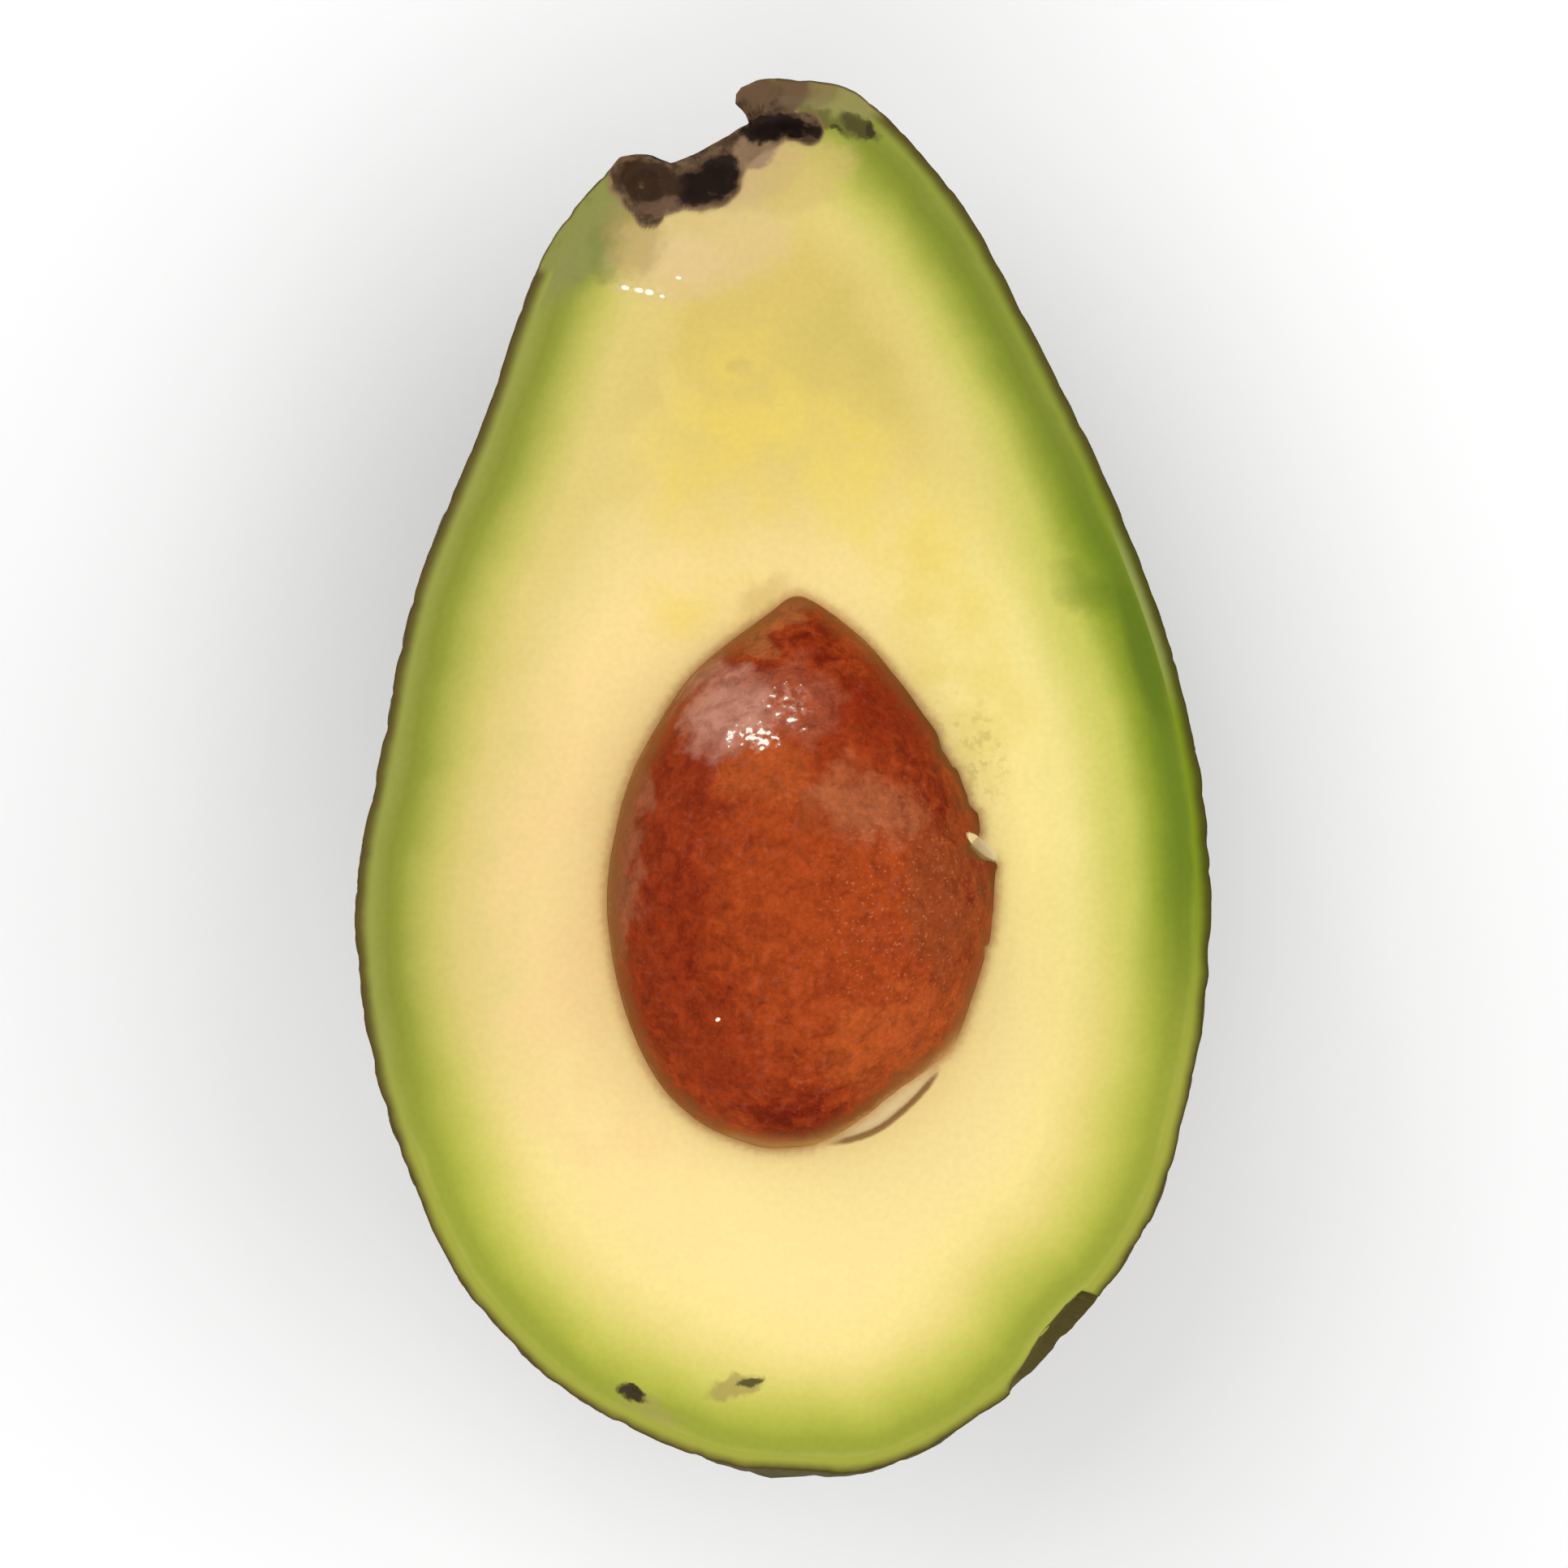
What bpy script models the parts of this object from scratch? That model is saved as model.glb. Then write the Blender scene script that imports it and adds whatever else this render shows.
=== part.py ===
"""Half an avocado with its stone, lying on its peel with the cut face up.

The fruit is a pear-shaped body whose outline, seen square on to the cut face, is two flanks
that run from the stem end to the blossom end. A slightly tilted knife plane has taken the
front half away. The peel is the outer skin of what is left, the flesh fills the peel, and
the whole stone sits in its hollow in the flesh.

Metres, +Z up out of the cut face, +Y towards the stem end, +X to the right. The origin lies
on the surface that the half rests on, under the middle of its bounding box.
"""

import math
from bisect import bisect_left

import bmesh
import bpy
from mathutils import Euler, Matrix, Vector, noise

# Driving dimensions, in metres.
LENGTH = 0.112
PEEL_THICKNESS = 0.0013
GAP = 0.0003
KNIFE_ABOVE_AXIS = 0.0050
REST_TRIM = 0.0004
STONE_SINK = 0.0010

# Depth of a body as a share of its width, and how much that share grows along its length,
# so that the neck is rounder than the blossom end and the half lies level on its back.
FRUIT_DEPTH = (0.97, 0.20)
STONE_DEPTH = (0.95, 0)

# The fruit's tilt under the knife: the right flank and the blossom end lie a little deeper.
FRUIT_TILT = Euler((math.radians(0.6), math.radians(2.4), 0))

# Flank points from the stem end to the blossom end, x and y as shares of LENGTH.
RIGHT_FLANK = [
    (-0.0400, 0.4995), (0.0200, 0.4990), (0.0630, 0.4840), (0.1260, 0.4140), (0.1820, 0.3135),
    (0.2385, 0.1975), (0.2815, 0.0810), (0.3035, -0.0350), (0.3030, -0.1510), (0.2805, -0.2670),
    (0.2570, -0.3250), (0.2160, -0.3830), (0.1600, -0.4410), (0.0850, -0.4890), (0.0020, -0.5020),
]
LEFT_FLANK = [
    (-0.0870, 0.4780), (-0.1190, 0.4420), (-0.1720, 0.3730), (-0.2145, 0.2555),
    (-0.2610, 0.1390), (-0.2865, 0.0230), (-0.3055, -0.0930), (-0.2910, -0.2090),
    (-0.2490, -0.3250), (-0.2120, -0.3830), (-0.1480, -0.4420), (-0.0490, -0.4890),
]

# The stone's outline where it meets the cut face, from its tip to its round end.
STONE_RIGHT = [
    (0.0125, 0.1340), (0.0480, 0.1110), (0.0770, 0.0810), (0.1175, 0.0230), (0.1430, -0.0380),
    (0.1515, -0.0780), (0.1475, -0.1170), (0.1330, -0.1760), (0.1200, -0.2050), (0.0960, -0.2340),
    (0.0610, -0.2540), (-0.0020, -0.2635),
]
STONE_LEFT = [
    (-0.0170, 0.1150), (-0.0550, 0.0840), (-0.0805, 0.0525), (-0.1110, -0.0060),
    (-0.1245, -0.0780), (-0.1160, -0.1510), (-0.0930, -0.2090), (-0.0650, -0.2400),
    (-0.0330, -0.2570),
]

# Mesh density: squares along each edge of the cube that a body is blown up from.
PEEL_OUTSIDE_CUTS = 32
PEEL_INSIDE_CUTS = 18
STONE_CUTS = 12
HOLLOW_CUTS = 6
CURVE_STEPS = 12

# The pebbled skin: grooves between low pebbles, which fade out where the half rests.
PEBBLE_PITCH = 0.0046
PEBBLE_PROUD = 0.00030
GROOVE_DEPTH = 0.00050
GROOVE_SHARE = 0.35
SMOOTH_NEAR_REST = (0.0050, 0.0110)

# The socket that the stalk left: its mouth on the cut face, as shares of LENGTH, from the
# left shoulder down along its floor and up under the hooked lip on the right.
SOCKET_MOUTH = [
    (-0.1500, 0.5300), (-0.1180, 0.4540), (-0.1036, 0.4450), (-0.0787, 0.4396), (-0.0485, 0.4530),
    (-0.0215, 0.4690), (-0.0250, 0.4770), (-0.0320, 0.4850), (-0.0300, 0.4925), (-0.0107, 0.5010),
    (0.0000, 0.5300),
]
SOCKET_DEPTH = 0.0150
SOCKET_TAPER = 0.85

# Hollows in the cut face: centre and half axes in metres, and the turn of the long axis.
DRIED_HOLLOW = ((-0.0042, 0.0472), (0.0080, 0.0026, 0.0024), math.radians(22))
RIM_CHIP = ((0.0209, -0.0455), (0.0045, 0.0011, 0.0016), math.radians(56))

# Colour as linear red, green and blue, and roughness.
PEEL_FINISH = ((0.085, 0.070, 0.030), 0.55)
FLESH_FINISH = ((0.800, 0.700, 0.270), 0.35)
STONE_FINISH = ((0.380, 0.080, 0.020), 0.30)

# Smooth shading stops at edges sharper than this, and points nearer than this are one point.
SHARP_ANGLE = math.radians(40)
SAME_POINT = 1e-7


def clear_scene():
    for old in list(bpy.data.objects):
        bpy.data.objects.remove(old)


def material(name, finish):
    colour, roughness = finish
    made = bpy.data.materials.new(name)
    made.use_nodes = True
    shader = made.node_tree.nodes["Principled BSDF"]
    shader.inputs["Base Color"].default_value = (*colour, 1)
    shader.inputs["Roughness"].default_value = roughness
    shader.inputs["Metallic"].default_value = 0
    made.diffuse_color = (*colour, 1)
    return made


def new_object(name, shape, finish=None):
    """Writes a bmesh to a new object. With no finish it is a cutter, which never shows."""
    mesh = bpy.data.meshes.new(name)
    shape.to_mesh(mesh)
    shape.free()
    made = bpy.data.objects.new(name, mesh)
    bpy.context.scene.collection.objects.link(made)
    if finish is None:
        made.hide_render = True
        made.display_type = "WIRE"
    else:
        mesh.materials.append(material(name, finish))
        mesh.shade_smooth()
        mesh.set_sharp_from_angle(angle=SHARP_ANGLE)
    return made


def smooth_step(low, high, value):
    share = min(1, max(0, (value - low) / (high - low)))
    return share * share * (3 - 2 * share)


def on_cut_face(shares):
    return [Vector((x * LENGTH, y * LENGTH)) for x, y in shares]


def smooth_loop(points):
    """A closed Catmull-Rom curve through the points, CURVE_STEPS steps to each stretch."""
    count = len(points)
    dense = []
    for i in range(count):
        before, start, end, after = (points[(i + k) % count] for k in (-1, 0, 1, 2))
        for step in range(CURVE_STEPS):
            t = step / CURVE_STEPS
            bend = 2 * before - 5 * start + 4 * end - after
            twist = start * 3 - before - end * 3 + after
            dense.append((2 * start + (end - before) * t + bend * t**2 + twist * t**3) / 2)
    return dense


class Flank:
    """One side of an outline, from the stem end to the blossom end, read by its share of length."""

    def __init__(self, points):
        self.points = points
        self.reach = [0]
        for a, b in zip(points, points[1:]):
            self.reach.append(self.reach[-1] + (b - a).length)

    def at(self, share):
        goal = share * self.reach[-1]
        after = min(bisect_left(self.reach, goal, 1), len(self.reach) - 1)
        part = (goal - self.reach[after - 1]) / (self.reach[after] - self.reach[after - 1])
        return self.points[after - 1].lerp(self.points[after], part)


def flanks(right, left):
    """The two sides of a smooth closed outline through both lists of points."""
    loop = smooth_loop(on_cut_face(right + left[::-1]))
    turn = (len(right) - 1) * CURVE_STEPS
    return Flank(loop[: turn + 1]), Flank([loop[0], *loop[: turn - 1 : -1]])


def blown_cube(cuts):
    """A unit ball made of even squares, cuts of them along each edge of a cube."""
    ball = bmesh.new()
    bmesh.ops.create_cube(ball, size=2)
    bmesh.ops.subdivide_edges(ball, edges=ball.edges[:], cuts=cuts - 1, use_grid_fill=True)
    for vert in ball.verts:
        even = Vector([math.tan(c * math.pi / 4) for c in vert.co])
        vert.co = even.normalized()
    return ball


def body(sides, depth, cuts):
    """A closed body blown up from a ball. Its widest section, at z = 0, is the outline."""
    right, left = sides
    depth_to_width, growth = depth
    made = blown_cube(cuts)
    for vert in made.verts:
        share = math.acos(max(-1, min(1, vert.co.y))) / math.pi
        a, b = right.at(share), left.at(share)
        middle, half = (a + b) / 2, (a - b) / 2
        around = math.atan2(vert.co.z, vert.co.x)
        flat = middle + half * math.cos(around)
        deep = half.length * (depth_to_width + growth * middle.y / LENGTH)
        vert.co = (flat.x, flat.y, deep * math.sin(around))
    made.normal_update()
    return made


def push_out(made, distance_at):
    """Moves every point of a body along its normal, by a distance worked out from the point."""
    made.normal_update()
    moves = [(vert, vert.normal * distance_at(vert.co)) for vert in made.verts]
    for vert, move in moves:
        vert.co += move
    made.normal_update()


def pebble_height(point):
    """Height of the skin over the smooth fruit: proud on a pebble, down in the groove between two."""
    near, _ = noise.voronoi(point / PEBBLE_PITCH)
    return PEBBLE_PROUD - GROOVE_DEPTH * (1 - smooth_step(0, GROOVE_SHARE, near[1] - near[0]))


def cut_flat(made, height, keep_below):
    """Cuts the body at a level plane and closes it with one flat face."""
    everything = made.verts[:] + made.edges[:] + made.faces[:]
    cut = bmesh.ops.bisect_plane(
        made,
        geom=everything,
        dist=SAME_POINT,
        plane_co=(0, 0, height),
        plane_no=(0, 0, 1),
        clear_outer=keep_below,
        clear_inner=not keep_below,
    )
    edges = [g for g in cut["geom_cut"] if isinstance(g, bmesh.types.BMEdge)]
    bmesh.ops.contextual_create(made, geom=edges)
    bmesh.ops.recalc_face_normals(made, faces=made.faces[:])


def fruit(cuts, inset, cut_height):
    """The whole fruit's surface, or one inset below it, tilted, with the knife's plane at cut_height."""
    made = body(flanks(RIGHT_FLANK, LEFT_FLANK), FRUIT_DEPTH, cuts)
    if inset:
        push_out(made, lambda point: -inset)
    lift = Matrix.Translation((0, 0, cut_height - KNIFE_ABOVE_AXIS))
    made.transform(lift @ FRUIT_TILT.to_matrix().to_4x4())
    return made


def lowest_point():
    """The fruit's lowest point, with the knife's plane at z = 0."""
    whole = fruit(PEEL_OUTSIDE_CUTS, 0, 0)
    lowest = min((vert.co for vert in whole.verts), key=lambda co: co.z).copy()
    whole.free()
    return lowest


def half_outside(cut_height, rest_at):
    """The outside of the half: pebbled, cut flat on top and trimmed flat where it rests."""

    def skin(point):
        from_rest = (point - rest_at).length
        return pebble_height(point) * smooth_step(*SMOOTH_NEAR_REST, from_rest)

    made = fruit(PEEL_OUTSIDE_CUTS, 0, cut_height)
    push_out(made, skin)
    cut_flat(made, cut_height, keep_below=True)
    cut_flat(made, 0, keep_below=False)
    return made


def stone_body(clearance, cut_height):
    made = body(flanks(STONE_RIGHT, STONE_LEFT), STONE_DEPTH, STONE_CUTS)
    if clearance:
        push_out(made, lambda point: clearance)
    bmesh.ops.translate(made, verts=made.verts[:], vec=(0, 0, cut_height - STONE_SINK))
    return made


def socket_cutter(cut_height):
    """The stalk's socket, right through the stem end, a little narrower at the bottom."""
    mouth = smooth_loop(on_cut_face(SOCKET_MOUTH))
    centre = sum(mouth, Vector((0, 0))) / len(mouth)
    made = bmesh.new()
    rings = []
    for height, size in ((SOCKET_DEPTH, 1), (-SOCKET_DEPTH, SOCKET_TAPER)):
        ring = [made.verts.new((*(centre + (p - centre) * size), cut_height + height)) for p in mouth]
        made.faces.new(ring)
        rings += ring
    bmesh.ops.bridge_loops(made, edges=made.edges[:])
    bmesh.ops.recalc_face_normals(made, faces=made.faces[:])
    return made


def hollow_cutter(hollow, cut_height):
    """An egg-shaped cutter that lies half in the cut face."""
    centre, half_axes, turn = hollow
    made = blown_cube(HOLLOW_CUTS)
    place = Matrix.Translation((*centre, cut_height)) @ Matrix.Rotation(turn, 4, "Z")
    made.transform(place @ Matrix.Diagonal((*half_axes, 1)))
    return made


def subtract(whole, *cutters):
    for cutter in cutters:
        step = whole.modifiers.new(cutter.name, "BOOLEAN")
        step.operation = "DIFFERENCE"
        step.solver = "EXACT"
        step.object = cutter


def main():
    clear_scene()
    lowest = lowest_point()
    cut_height = -lowest.z - REST_TRIM
    rest_at = Vector((lowest.x, lowest.y, 0))

    socket = new_object("stalk_socket", socket_cutter(cut_height))
    chip = new_object("rim_chip", hollow_cutter(RIM_CHIP, cut_height))
    dried_hollow = new_object("dried_hollow", hollow_cutter(DRIED_HOLLOW, cut_height))
    flesh_room = new_object("flesh_room", fruit(PEEL_INSIDE_CUTS, PEEL_THICKNESS, cut_height))
    stone_room = new_object("stone_room", stone_body(GAP, cut_height))

    peel = new_object("peel", half_outside(cut_height, rest_at), PEEL_FINISH)
    subtract(peel, flesh_room, socket, chip)

    flesh_half = fruit(PEEL_INSIDE_CUTS, PEEL_THICKNESS + GAP, cut_height)
    cut_flat(flesh_half, cut_height, keep_below=True)
    flesh = new_object("flesh", flesh_half, FLESH_FINISH)
    subtract(flesh, stone_room, socket, chip, dried_hollow)

    new_object("stone", stone_body(0, cut_height), STONE_FINISH)


main()
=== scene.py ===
"""Finishes the avocado half: its pebbled peel, the cut flesh with the stalk's socket, and the coated stone.

Each piece is remade finer than the solid that it stands for, from the same outline. Metres, in the frame
of the solids: +Z up out of the cut face, +Y towards the stem end.
"""

import math
from bisect import bisect_left

import bmesh
import bpy
from bpy.props import FloatProperty, FloatVectorProperty, PointerProperty
from mathutils import Euler, Matrix, Vector, noise
from mathutils.bvhtree import BVHTree
from mathutils.kdtree import KDTree


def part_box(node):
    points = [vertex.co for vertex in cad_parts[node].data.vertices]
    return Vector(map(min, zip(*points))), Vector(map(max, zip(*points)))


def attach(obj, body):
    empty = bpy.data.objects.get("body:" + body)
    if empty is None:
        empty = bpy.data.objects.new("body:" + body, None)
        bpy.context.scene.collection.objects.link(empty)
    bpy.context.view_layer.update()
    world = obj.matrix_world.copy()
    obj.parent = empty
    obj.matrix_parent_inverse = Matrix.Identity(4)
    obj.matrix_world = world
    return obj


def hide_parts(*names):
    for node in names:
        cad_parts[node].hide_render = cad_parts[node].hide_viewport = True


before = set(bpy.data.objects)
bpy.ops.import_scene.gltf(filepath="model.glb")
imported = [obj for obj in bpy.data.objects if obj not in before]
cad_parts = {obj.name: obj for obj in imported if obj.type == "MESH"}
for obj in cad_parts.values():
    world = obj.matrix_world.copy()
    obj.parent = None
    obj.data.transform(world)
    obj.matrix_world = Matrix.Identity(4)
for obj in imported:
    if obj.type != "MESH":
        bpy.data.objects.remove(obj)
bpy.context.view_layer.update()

bl_info = {
    "name": "Avocado half",
    "version": (1, 0, 0),
    "blender": (4, 5, 0),
    "location": "3D View > Sidebar > Avocado",
    "description": "Makes a cut avocado half with its peel, flesh and stone, and a plain stage for it",
    "category": "Add Mesh",
}

MM = 0.001

# The cut face is the flesh's top in the solids.
CUT_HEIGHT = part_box("flesh")[1].z

# The fruit's shape, as in the solids.
LENGTH = 0.112
KNIFE_ABOVE_AXIS = 0.0050
FRUIT_TILT = Euler((math.radians(0.6), math.radians(2.4), 0))
FRUIT_DEPTH = (0.97, 0.20)
STONE_DEPTH = (0.95, 0)
# Over its widest section the fruit goes up almost straight to the knife: 1 would be round.
UPRIGHT = 0.35
STONE_SINK = 0.0010
RIGHT_FLANK = [
    (-0.0400, 0.4995), (0.0200, 0.4990), (0.0630, 0.4840), (0.1260, 0.4140), (0.1820, 0.3135),
    (0.2385, 0.1975), (0.2815, 0.0810), (0.3035, -0.0350), (0.3030, -0.1510), (0.2805, -0.2670),
    (0.2570, -0.3250), (0.2160, -0.3830), (0.1600, -0.4410), (0.0850, -0.4890), (0.0020, -0.5020),
]
LEFT_FLANK = [
    (-0.0870, 0.4780), (-0.1190, 0.4420), (-0.1720, 0.3730), (-0.2145, 0.2555),
    (-0.2610, 0.1390), (-0.2865, 0.0230), (-0.3055, -0.0930), (-0.2910, -0.2090),
    (-0.2490, -0.3250), (-0.2120, -0.3830), (-0.1480, -0.4420), (-0.0490, -0.4890),
]
STONE_RIGHT = [
    (0.0125, 0.1340), (0.0480, 0.1110), (0.0770, 0.0810), (0.1175, 0.0230), (0.1430, -0.0380),
    (0.1515, -0.0780), (0.1475, -0.1170), (0.1300, -0.1760), (0.1140, -0.2050), (0.0885, -0.2340),
    (0.0570, -0.2540), (-0.0020, -0.2635),
]
STONE_LEFT = [
    (-0.0130, 0.1180), (-0.0550, 0.0840), (-0.0805, 0.0525), (-0.1110, -0.0060),
    (-0.1245, -0.0780), (-0.1160, -0.1510), (-0.0930, -0.2090), (-0.0650, -0.2400),
    (-0.0330, -0.2570),
]
CURVE_STEPS = 12

# The stalk's socket, in millimetres on the cut face: from the left shoulder along its floor
# and up round the hooked lip. Seen along SOCKET_PRESS no stretch of it hides another.
SOCKET_EDGE = [
    (-13.6, 49.3), (-12.8, 49.7), (-11.6, 49.9), (-10.3, 49.8), (-9.5, 49.4), (-8.8, 49.2), (-7.4, 49.7),
    (-5.4, 50.7), (-3.4, 51.9), (-2.7, 52.5), (-3.3, 53.4), (-3.7, 54.1), (-3.6, 54.7),
    (-3.1, 55.3), (-2.3, 55.7), (-1.2, 56.0),
]
# The lip itself is all peel: centre and radii in millimetres, and the width added.
LIP = ((-3.4, 54.4), (3.6, 3.0))
LIP_WIDTH = 0.0016
# The notch under the lip: centre, radii and shift, in millimetres.
UNDERCUT = ((-3.3, 52.9), (1.6, 1.0), 0.30)
# Radii and added shift of the wall below the cut, with the depths over which it comes in.
UNDERCUT_BELOW = ((3.0, 2.6), 1.10)
UNDERCUT_DEPTHS = (0.0003, 0.0015)
SOCKET_PRESS = Vector((0.848, -0.530))
# Skin left on the socket's wall at the cut, and how much more of it there is below these depths.
SOCKET_SKIN = 0.00015
SOCKET_SKIN_GROWTH = 9
SOCKET_SKIN_DEPTHS = (0.0002, 0.0009)

# The dent in the rim at the lower right: centre, half length, inward reach, depth and direction.
RIM_DENT_AT = Vector((0.0209, -0.0455))
RIM_DENT_SIZE = (0.0058, 0.0008, 0.0026)
DENT_SKIN = 0.00020
RIM_DENT_TURN = math.radians(56)

# Mesh density.
PEEL_CUTS = 139
LINING_CUTS = 60
STONE_CUTS = 104
GUIDE_CUTS = 80
FLESH_COLUMNS = 560
HOLLOW_ROWS = 14
FACE_ROWS = 104
OUTSIDE_ROWS = 22

SAME_POINT = 1e-7
SHARP_ANGLE = math.radians(50)


def shown(red, green, blue):
    """A colour as it shows on a screen, 0 to 255, made linear."""
    return tuple(
        (c / 255 / 12.92) if c < 10.3 else ((c / 255 + 0.055) / 1.055) ** 2.4 for c in (red, green, blue)
    )


def colour_property(name, description, default):
    return FloatVectorProperty(
        name=name, description=description, default=default, subtype="COLOR", size=3, min=0, max=1
    )


def size_property(name, description, default):
    return FloatProperty(
        name=name, description=description, default=default, subtype="DISTANCE", unit="LENGTH", precision=5
    )


class PeelSettings(bpy.types.PropertyGroup):
    """Sizes and colours of the peel."""

    thickness: size_property("Thickness", "Thickness of the peel under its pebbles", 0.0013)
    pebble_pitch: size_property("Pebble pitch", "Distance from pebble to pebble", 0.0046)
    pebble_proud: size_property("Pebble height", "Height of a pebble over the smooth fruit", 0.00023)
    groove_depth: size_property("Groove depth", "Depth of the grooves between pebbles", 0.00034)
    # The pebble colour is partly a painted highlight and the groove colour is painted shade between the
    # pebbles.
    skin: colour_property("Skin", "Colour of the outside on the pebbles", shown(92, 76, 44))
    groove: colour_property("Groove", "Colour of the outside between pebbles", shown(56, 50, 24))
    cut_line: colour_property("Cut line", "Colour of the thin outer line on the cut rim", shown(96, 84, 40))
    cut_band: colour_property("Cut band", "Colour of the paler band inside that line", shown(152, 156, 72))


class FleshSettings(bpy.types.PropertyGroup):
    """Colours of the flesh."""

    neck: colour_property("Neck", "Colour of the flesh towards the stem end", shown(215, 190, 98))
    bruise: colour_property("Bruise", "Colour of the darker wedge on the right", shown(92, 112, 8))
    dried: colour_property("Dried", "Colour of the dried tissue in the stalk's socket", shown(72, 52, 36))


class StoneSettings(bpy.types.PropertyGroup):
    """Colours of the stone's coat."""

    coat: colour_property("Coat", "Main colour of the coat", shown(168, 66, 22))
    dark: colour_property("Dark coat", "Colour of the darker red patches", shown(120, 26, 4))
    edge: colour_property("Coat edge", "Colour of the dry coat near the flesh", shown(140, 90, 42))


class StageSettings(bpy.types.PropertyGroup):
    """The floor, the lights and the camera."""

    camera_height: size_property("Camera height", "Height of the camera over the cut face", 0.380)
    floor: colour_property("Floor", "Colour of the floor", (1.0, 1.0, 1.0))


class Wire:
    """A value in a material's node tree. Sums and products on it add their Math nodes."""

    def __init__(self, recipe, socket):
        self.recipe = recipe
        self.socket = socket

    def maths(self, operation, a, b):
        return self.recipe.node("ShaderNodeMath", {"operation": operation}, {0: a, 1: b})

    def __add__(self, other):
        return self.maths("ADD", self, other)

    __radd__ = __add__

    def __sub__(self, other):
        return self.maths("SUBTRACT", self, other)

    def __rsub__(self, other):
        return self.maths("SUBTRACT", other, self)

    def __mul__(self, other):
        return self.maths("MULTIPLY", self, other)

    __rmul__ = __mul__

    def __truediv__(self, other):
        return self.maths("DIVIDE", self, other)

    def __pow__(self, other):
        return self.maths("POWER", self, other)

    def __abs__(self):
        return self.maths("ABSOLUTE", self, 0)


class Recipe:
    """One material: its shader, and the few ways in which nodes are added to it."""

    def __init__(self, name, uniform):
        self.material = bpy.data.materials.new(name)
        self.material.use_nodes = True
        self.tree = self.material.node_tree
        self.shader = self.tree.nodes["Principled BSDF"]
        for socket, value in uniform.items():
            self.shader.inputs[socket].default_value = value

    def node(self, kind, settings, values, out=0):
        """Adds a node: its settings first, then the values or links of its sockets."""
        made = self.tree.nodes.new(kind)
        for name, value in settings.items():
            if name == "stops":
                self.set_stops(made.color_ramp, value)
            else:
                setattr(made, name, value)
        for name, value in values.items():
            if isinstance(value, Wire):
                self.tree.links.new(value.socket, made.inputs[name])
            else:
                made.inputs[name].default_value = value
        return Wire(self, made.outputs[out])

    def set_stops(self, ramp, stops):
        while len(ramp.elements) < len(stops):
            ramp.elements.new(1)
        for element, (position, colour) in zip(ramp.elements, stops):
            element.position = position
            element.color = (*colour, 1)

    def feed(self, sockets):
        for name, wire in sockets.items():
            self.tree.links.new(wire.socket, self.shader.inputs[name])

    def attribute(self, name):
        return self.node("ShaderNodeAttribute", {"attribute_name": name}, {}, out="Fac")

    def place(self):
        """The point's own coordinates in millimetres: the vector, x, y, and the height over the cut face."""
        objects = self.node("ShaderNodeTexCoord", {}, {}, out="Object")
        point = self.scale(objects, 1 / MM)
        x, y, z = (self.node("ShaderNodeSeparateXYZ", {}, {0: point}, out=i) for i in range(3))
        return point, x, y, z - CUT_HEIGHT / MM

    def noise(self, point, size, detail=2.0, roughness=0.5, distortion=0.0):
        """Noise from about 0 to 1, with spots about this many millimetres across."""
        values = {"Vector": point, "Scale": 1 / size, "Detail": detail, "Roughness": roughness}
        return self.node("ShaderNodeTexNoise", {}, {**values, "Distortion": distortion}, out="Fac")

    def cells(self, point, size):
        """Distance from the nearest of scattered points, this many millimetres apart."""
        return self.node("ShaderNodeTexVoronoi", {}, {"Vector": point, "Scale": 1 / size}, out="Distance")

    def step(self, value, low, high):
        """0 below low and 1 above high, and smooth between. With low above high it falls."""
        values = {"Value": value, "From Min": low, "From Max": high}
        return self.node("ShaderNodeMapRange", {"interpolation_type": "SMOOTHSTEP"}, values)

    def mix(self, share, a, b):
        """Colour a, with this share of colour b. A tuple is a colour as it shows on a screen, 0 to 255."""
        a, b = (shown(*c) if isinstance(c, tuple) else c for c in (a, b))
        a, b = (c if isinstance(c, Wire) else (*c, 1) for c in (a, b))
        return self.node("ShaderNodeMix", {"data_type": "RGBA"}, {0: share, 6: a, 7: b}, out=2)

    def ramp(self, value, stops):
        return self.node("ShaderNodeValToRGB", {"stops": stops}, {0: value})

    def scale(self, colour, factor):
        return self.node("ShaderNodeVectorMath", {"operation": "SCALE"}, {0: colour, "Scale": factor})

    def blob(self, x, y, centre, radii, turn=0.0):
        """1 at the centre of an ellipse on the cut face, falling to 0 at its edge. In millimetres."""
        c, s = math.cos(math.radians(turn)), math.sin(math.radians(turn))
        along = ((x - centre[0]) * c + (y - centre[1]) * s) / radii[0]
        across = ((y - centre[1]) * c - (x - centre[0]) * s) / radii[1]
        return self.step(along * along + across * across, 1.0, 0.0)

    def patches(self, colour, place, rows, worn):
        """Lays rows of centre, radii, turn, colour and strength over a colour. Worn frays a blob's edge."""
        for centre, radii, turn, tone, share in rows:
            colour = self.mix(worn(self.blob(*place, centre, radii, turn)) * share, colour, tone)
        return colour

    def warp(self, point, x, y, size, reach):
        """x and y pushed about by noise, so that an edge drawn on them wanders."""
        values = {"Vector": point, "Scale": 1 / size, "Detail": 4.0}
        wander = self.node("ShaderNodeTexNoise", {}, values, out="Color")
        shifts = [self.node("ShaderNodeSeparateColor", {}, {0: wander}, out=i) - 0.5 for i in (0, 1)]
        return x + shifts[0] * (reach * 2), y + shifts[1] * (reach * 2)

    def bump(self, height, strength, distance):
        return self.node("ShaderNodeBump", {}, {"Height": height, "Strength": strength, "Distance": distance})


def smooth_step(low, high, value):
    share = min(1, max(0, (value - low) / (high - low)))
    return share * share * (3 - 2 * share)


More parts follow.
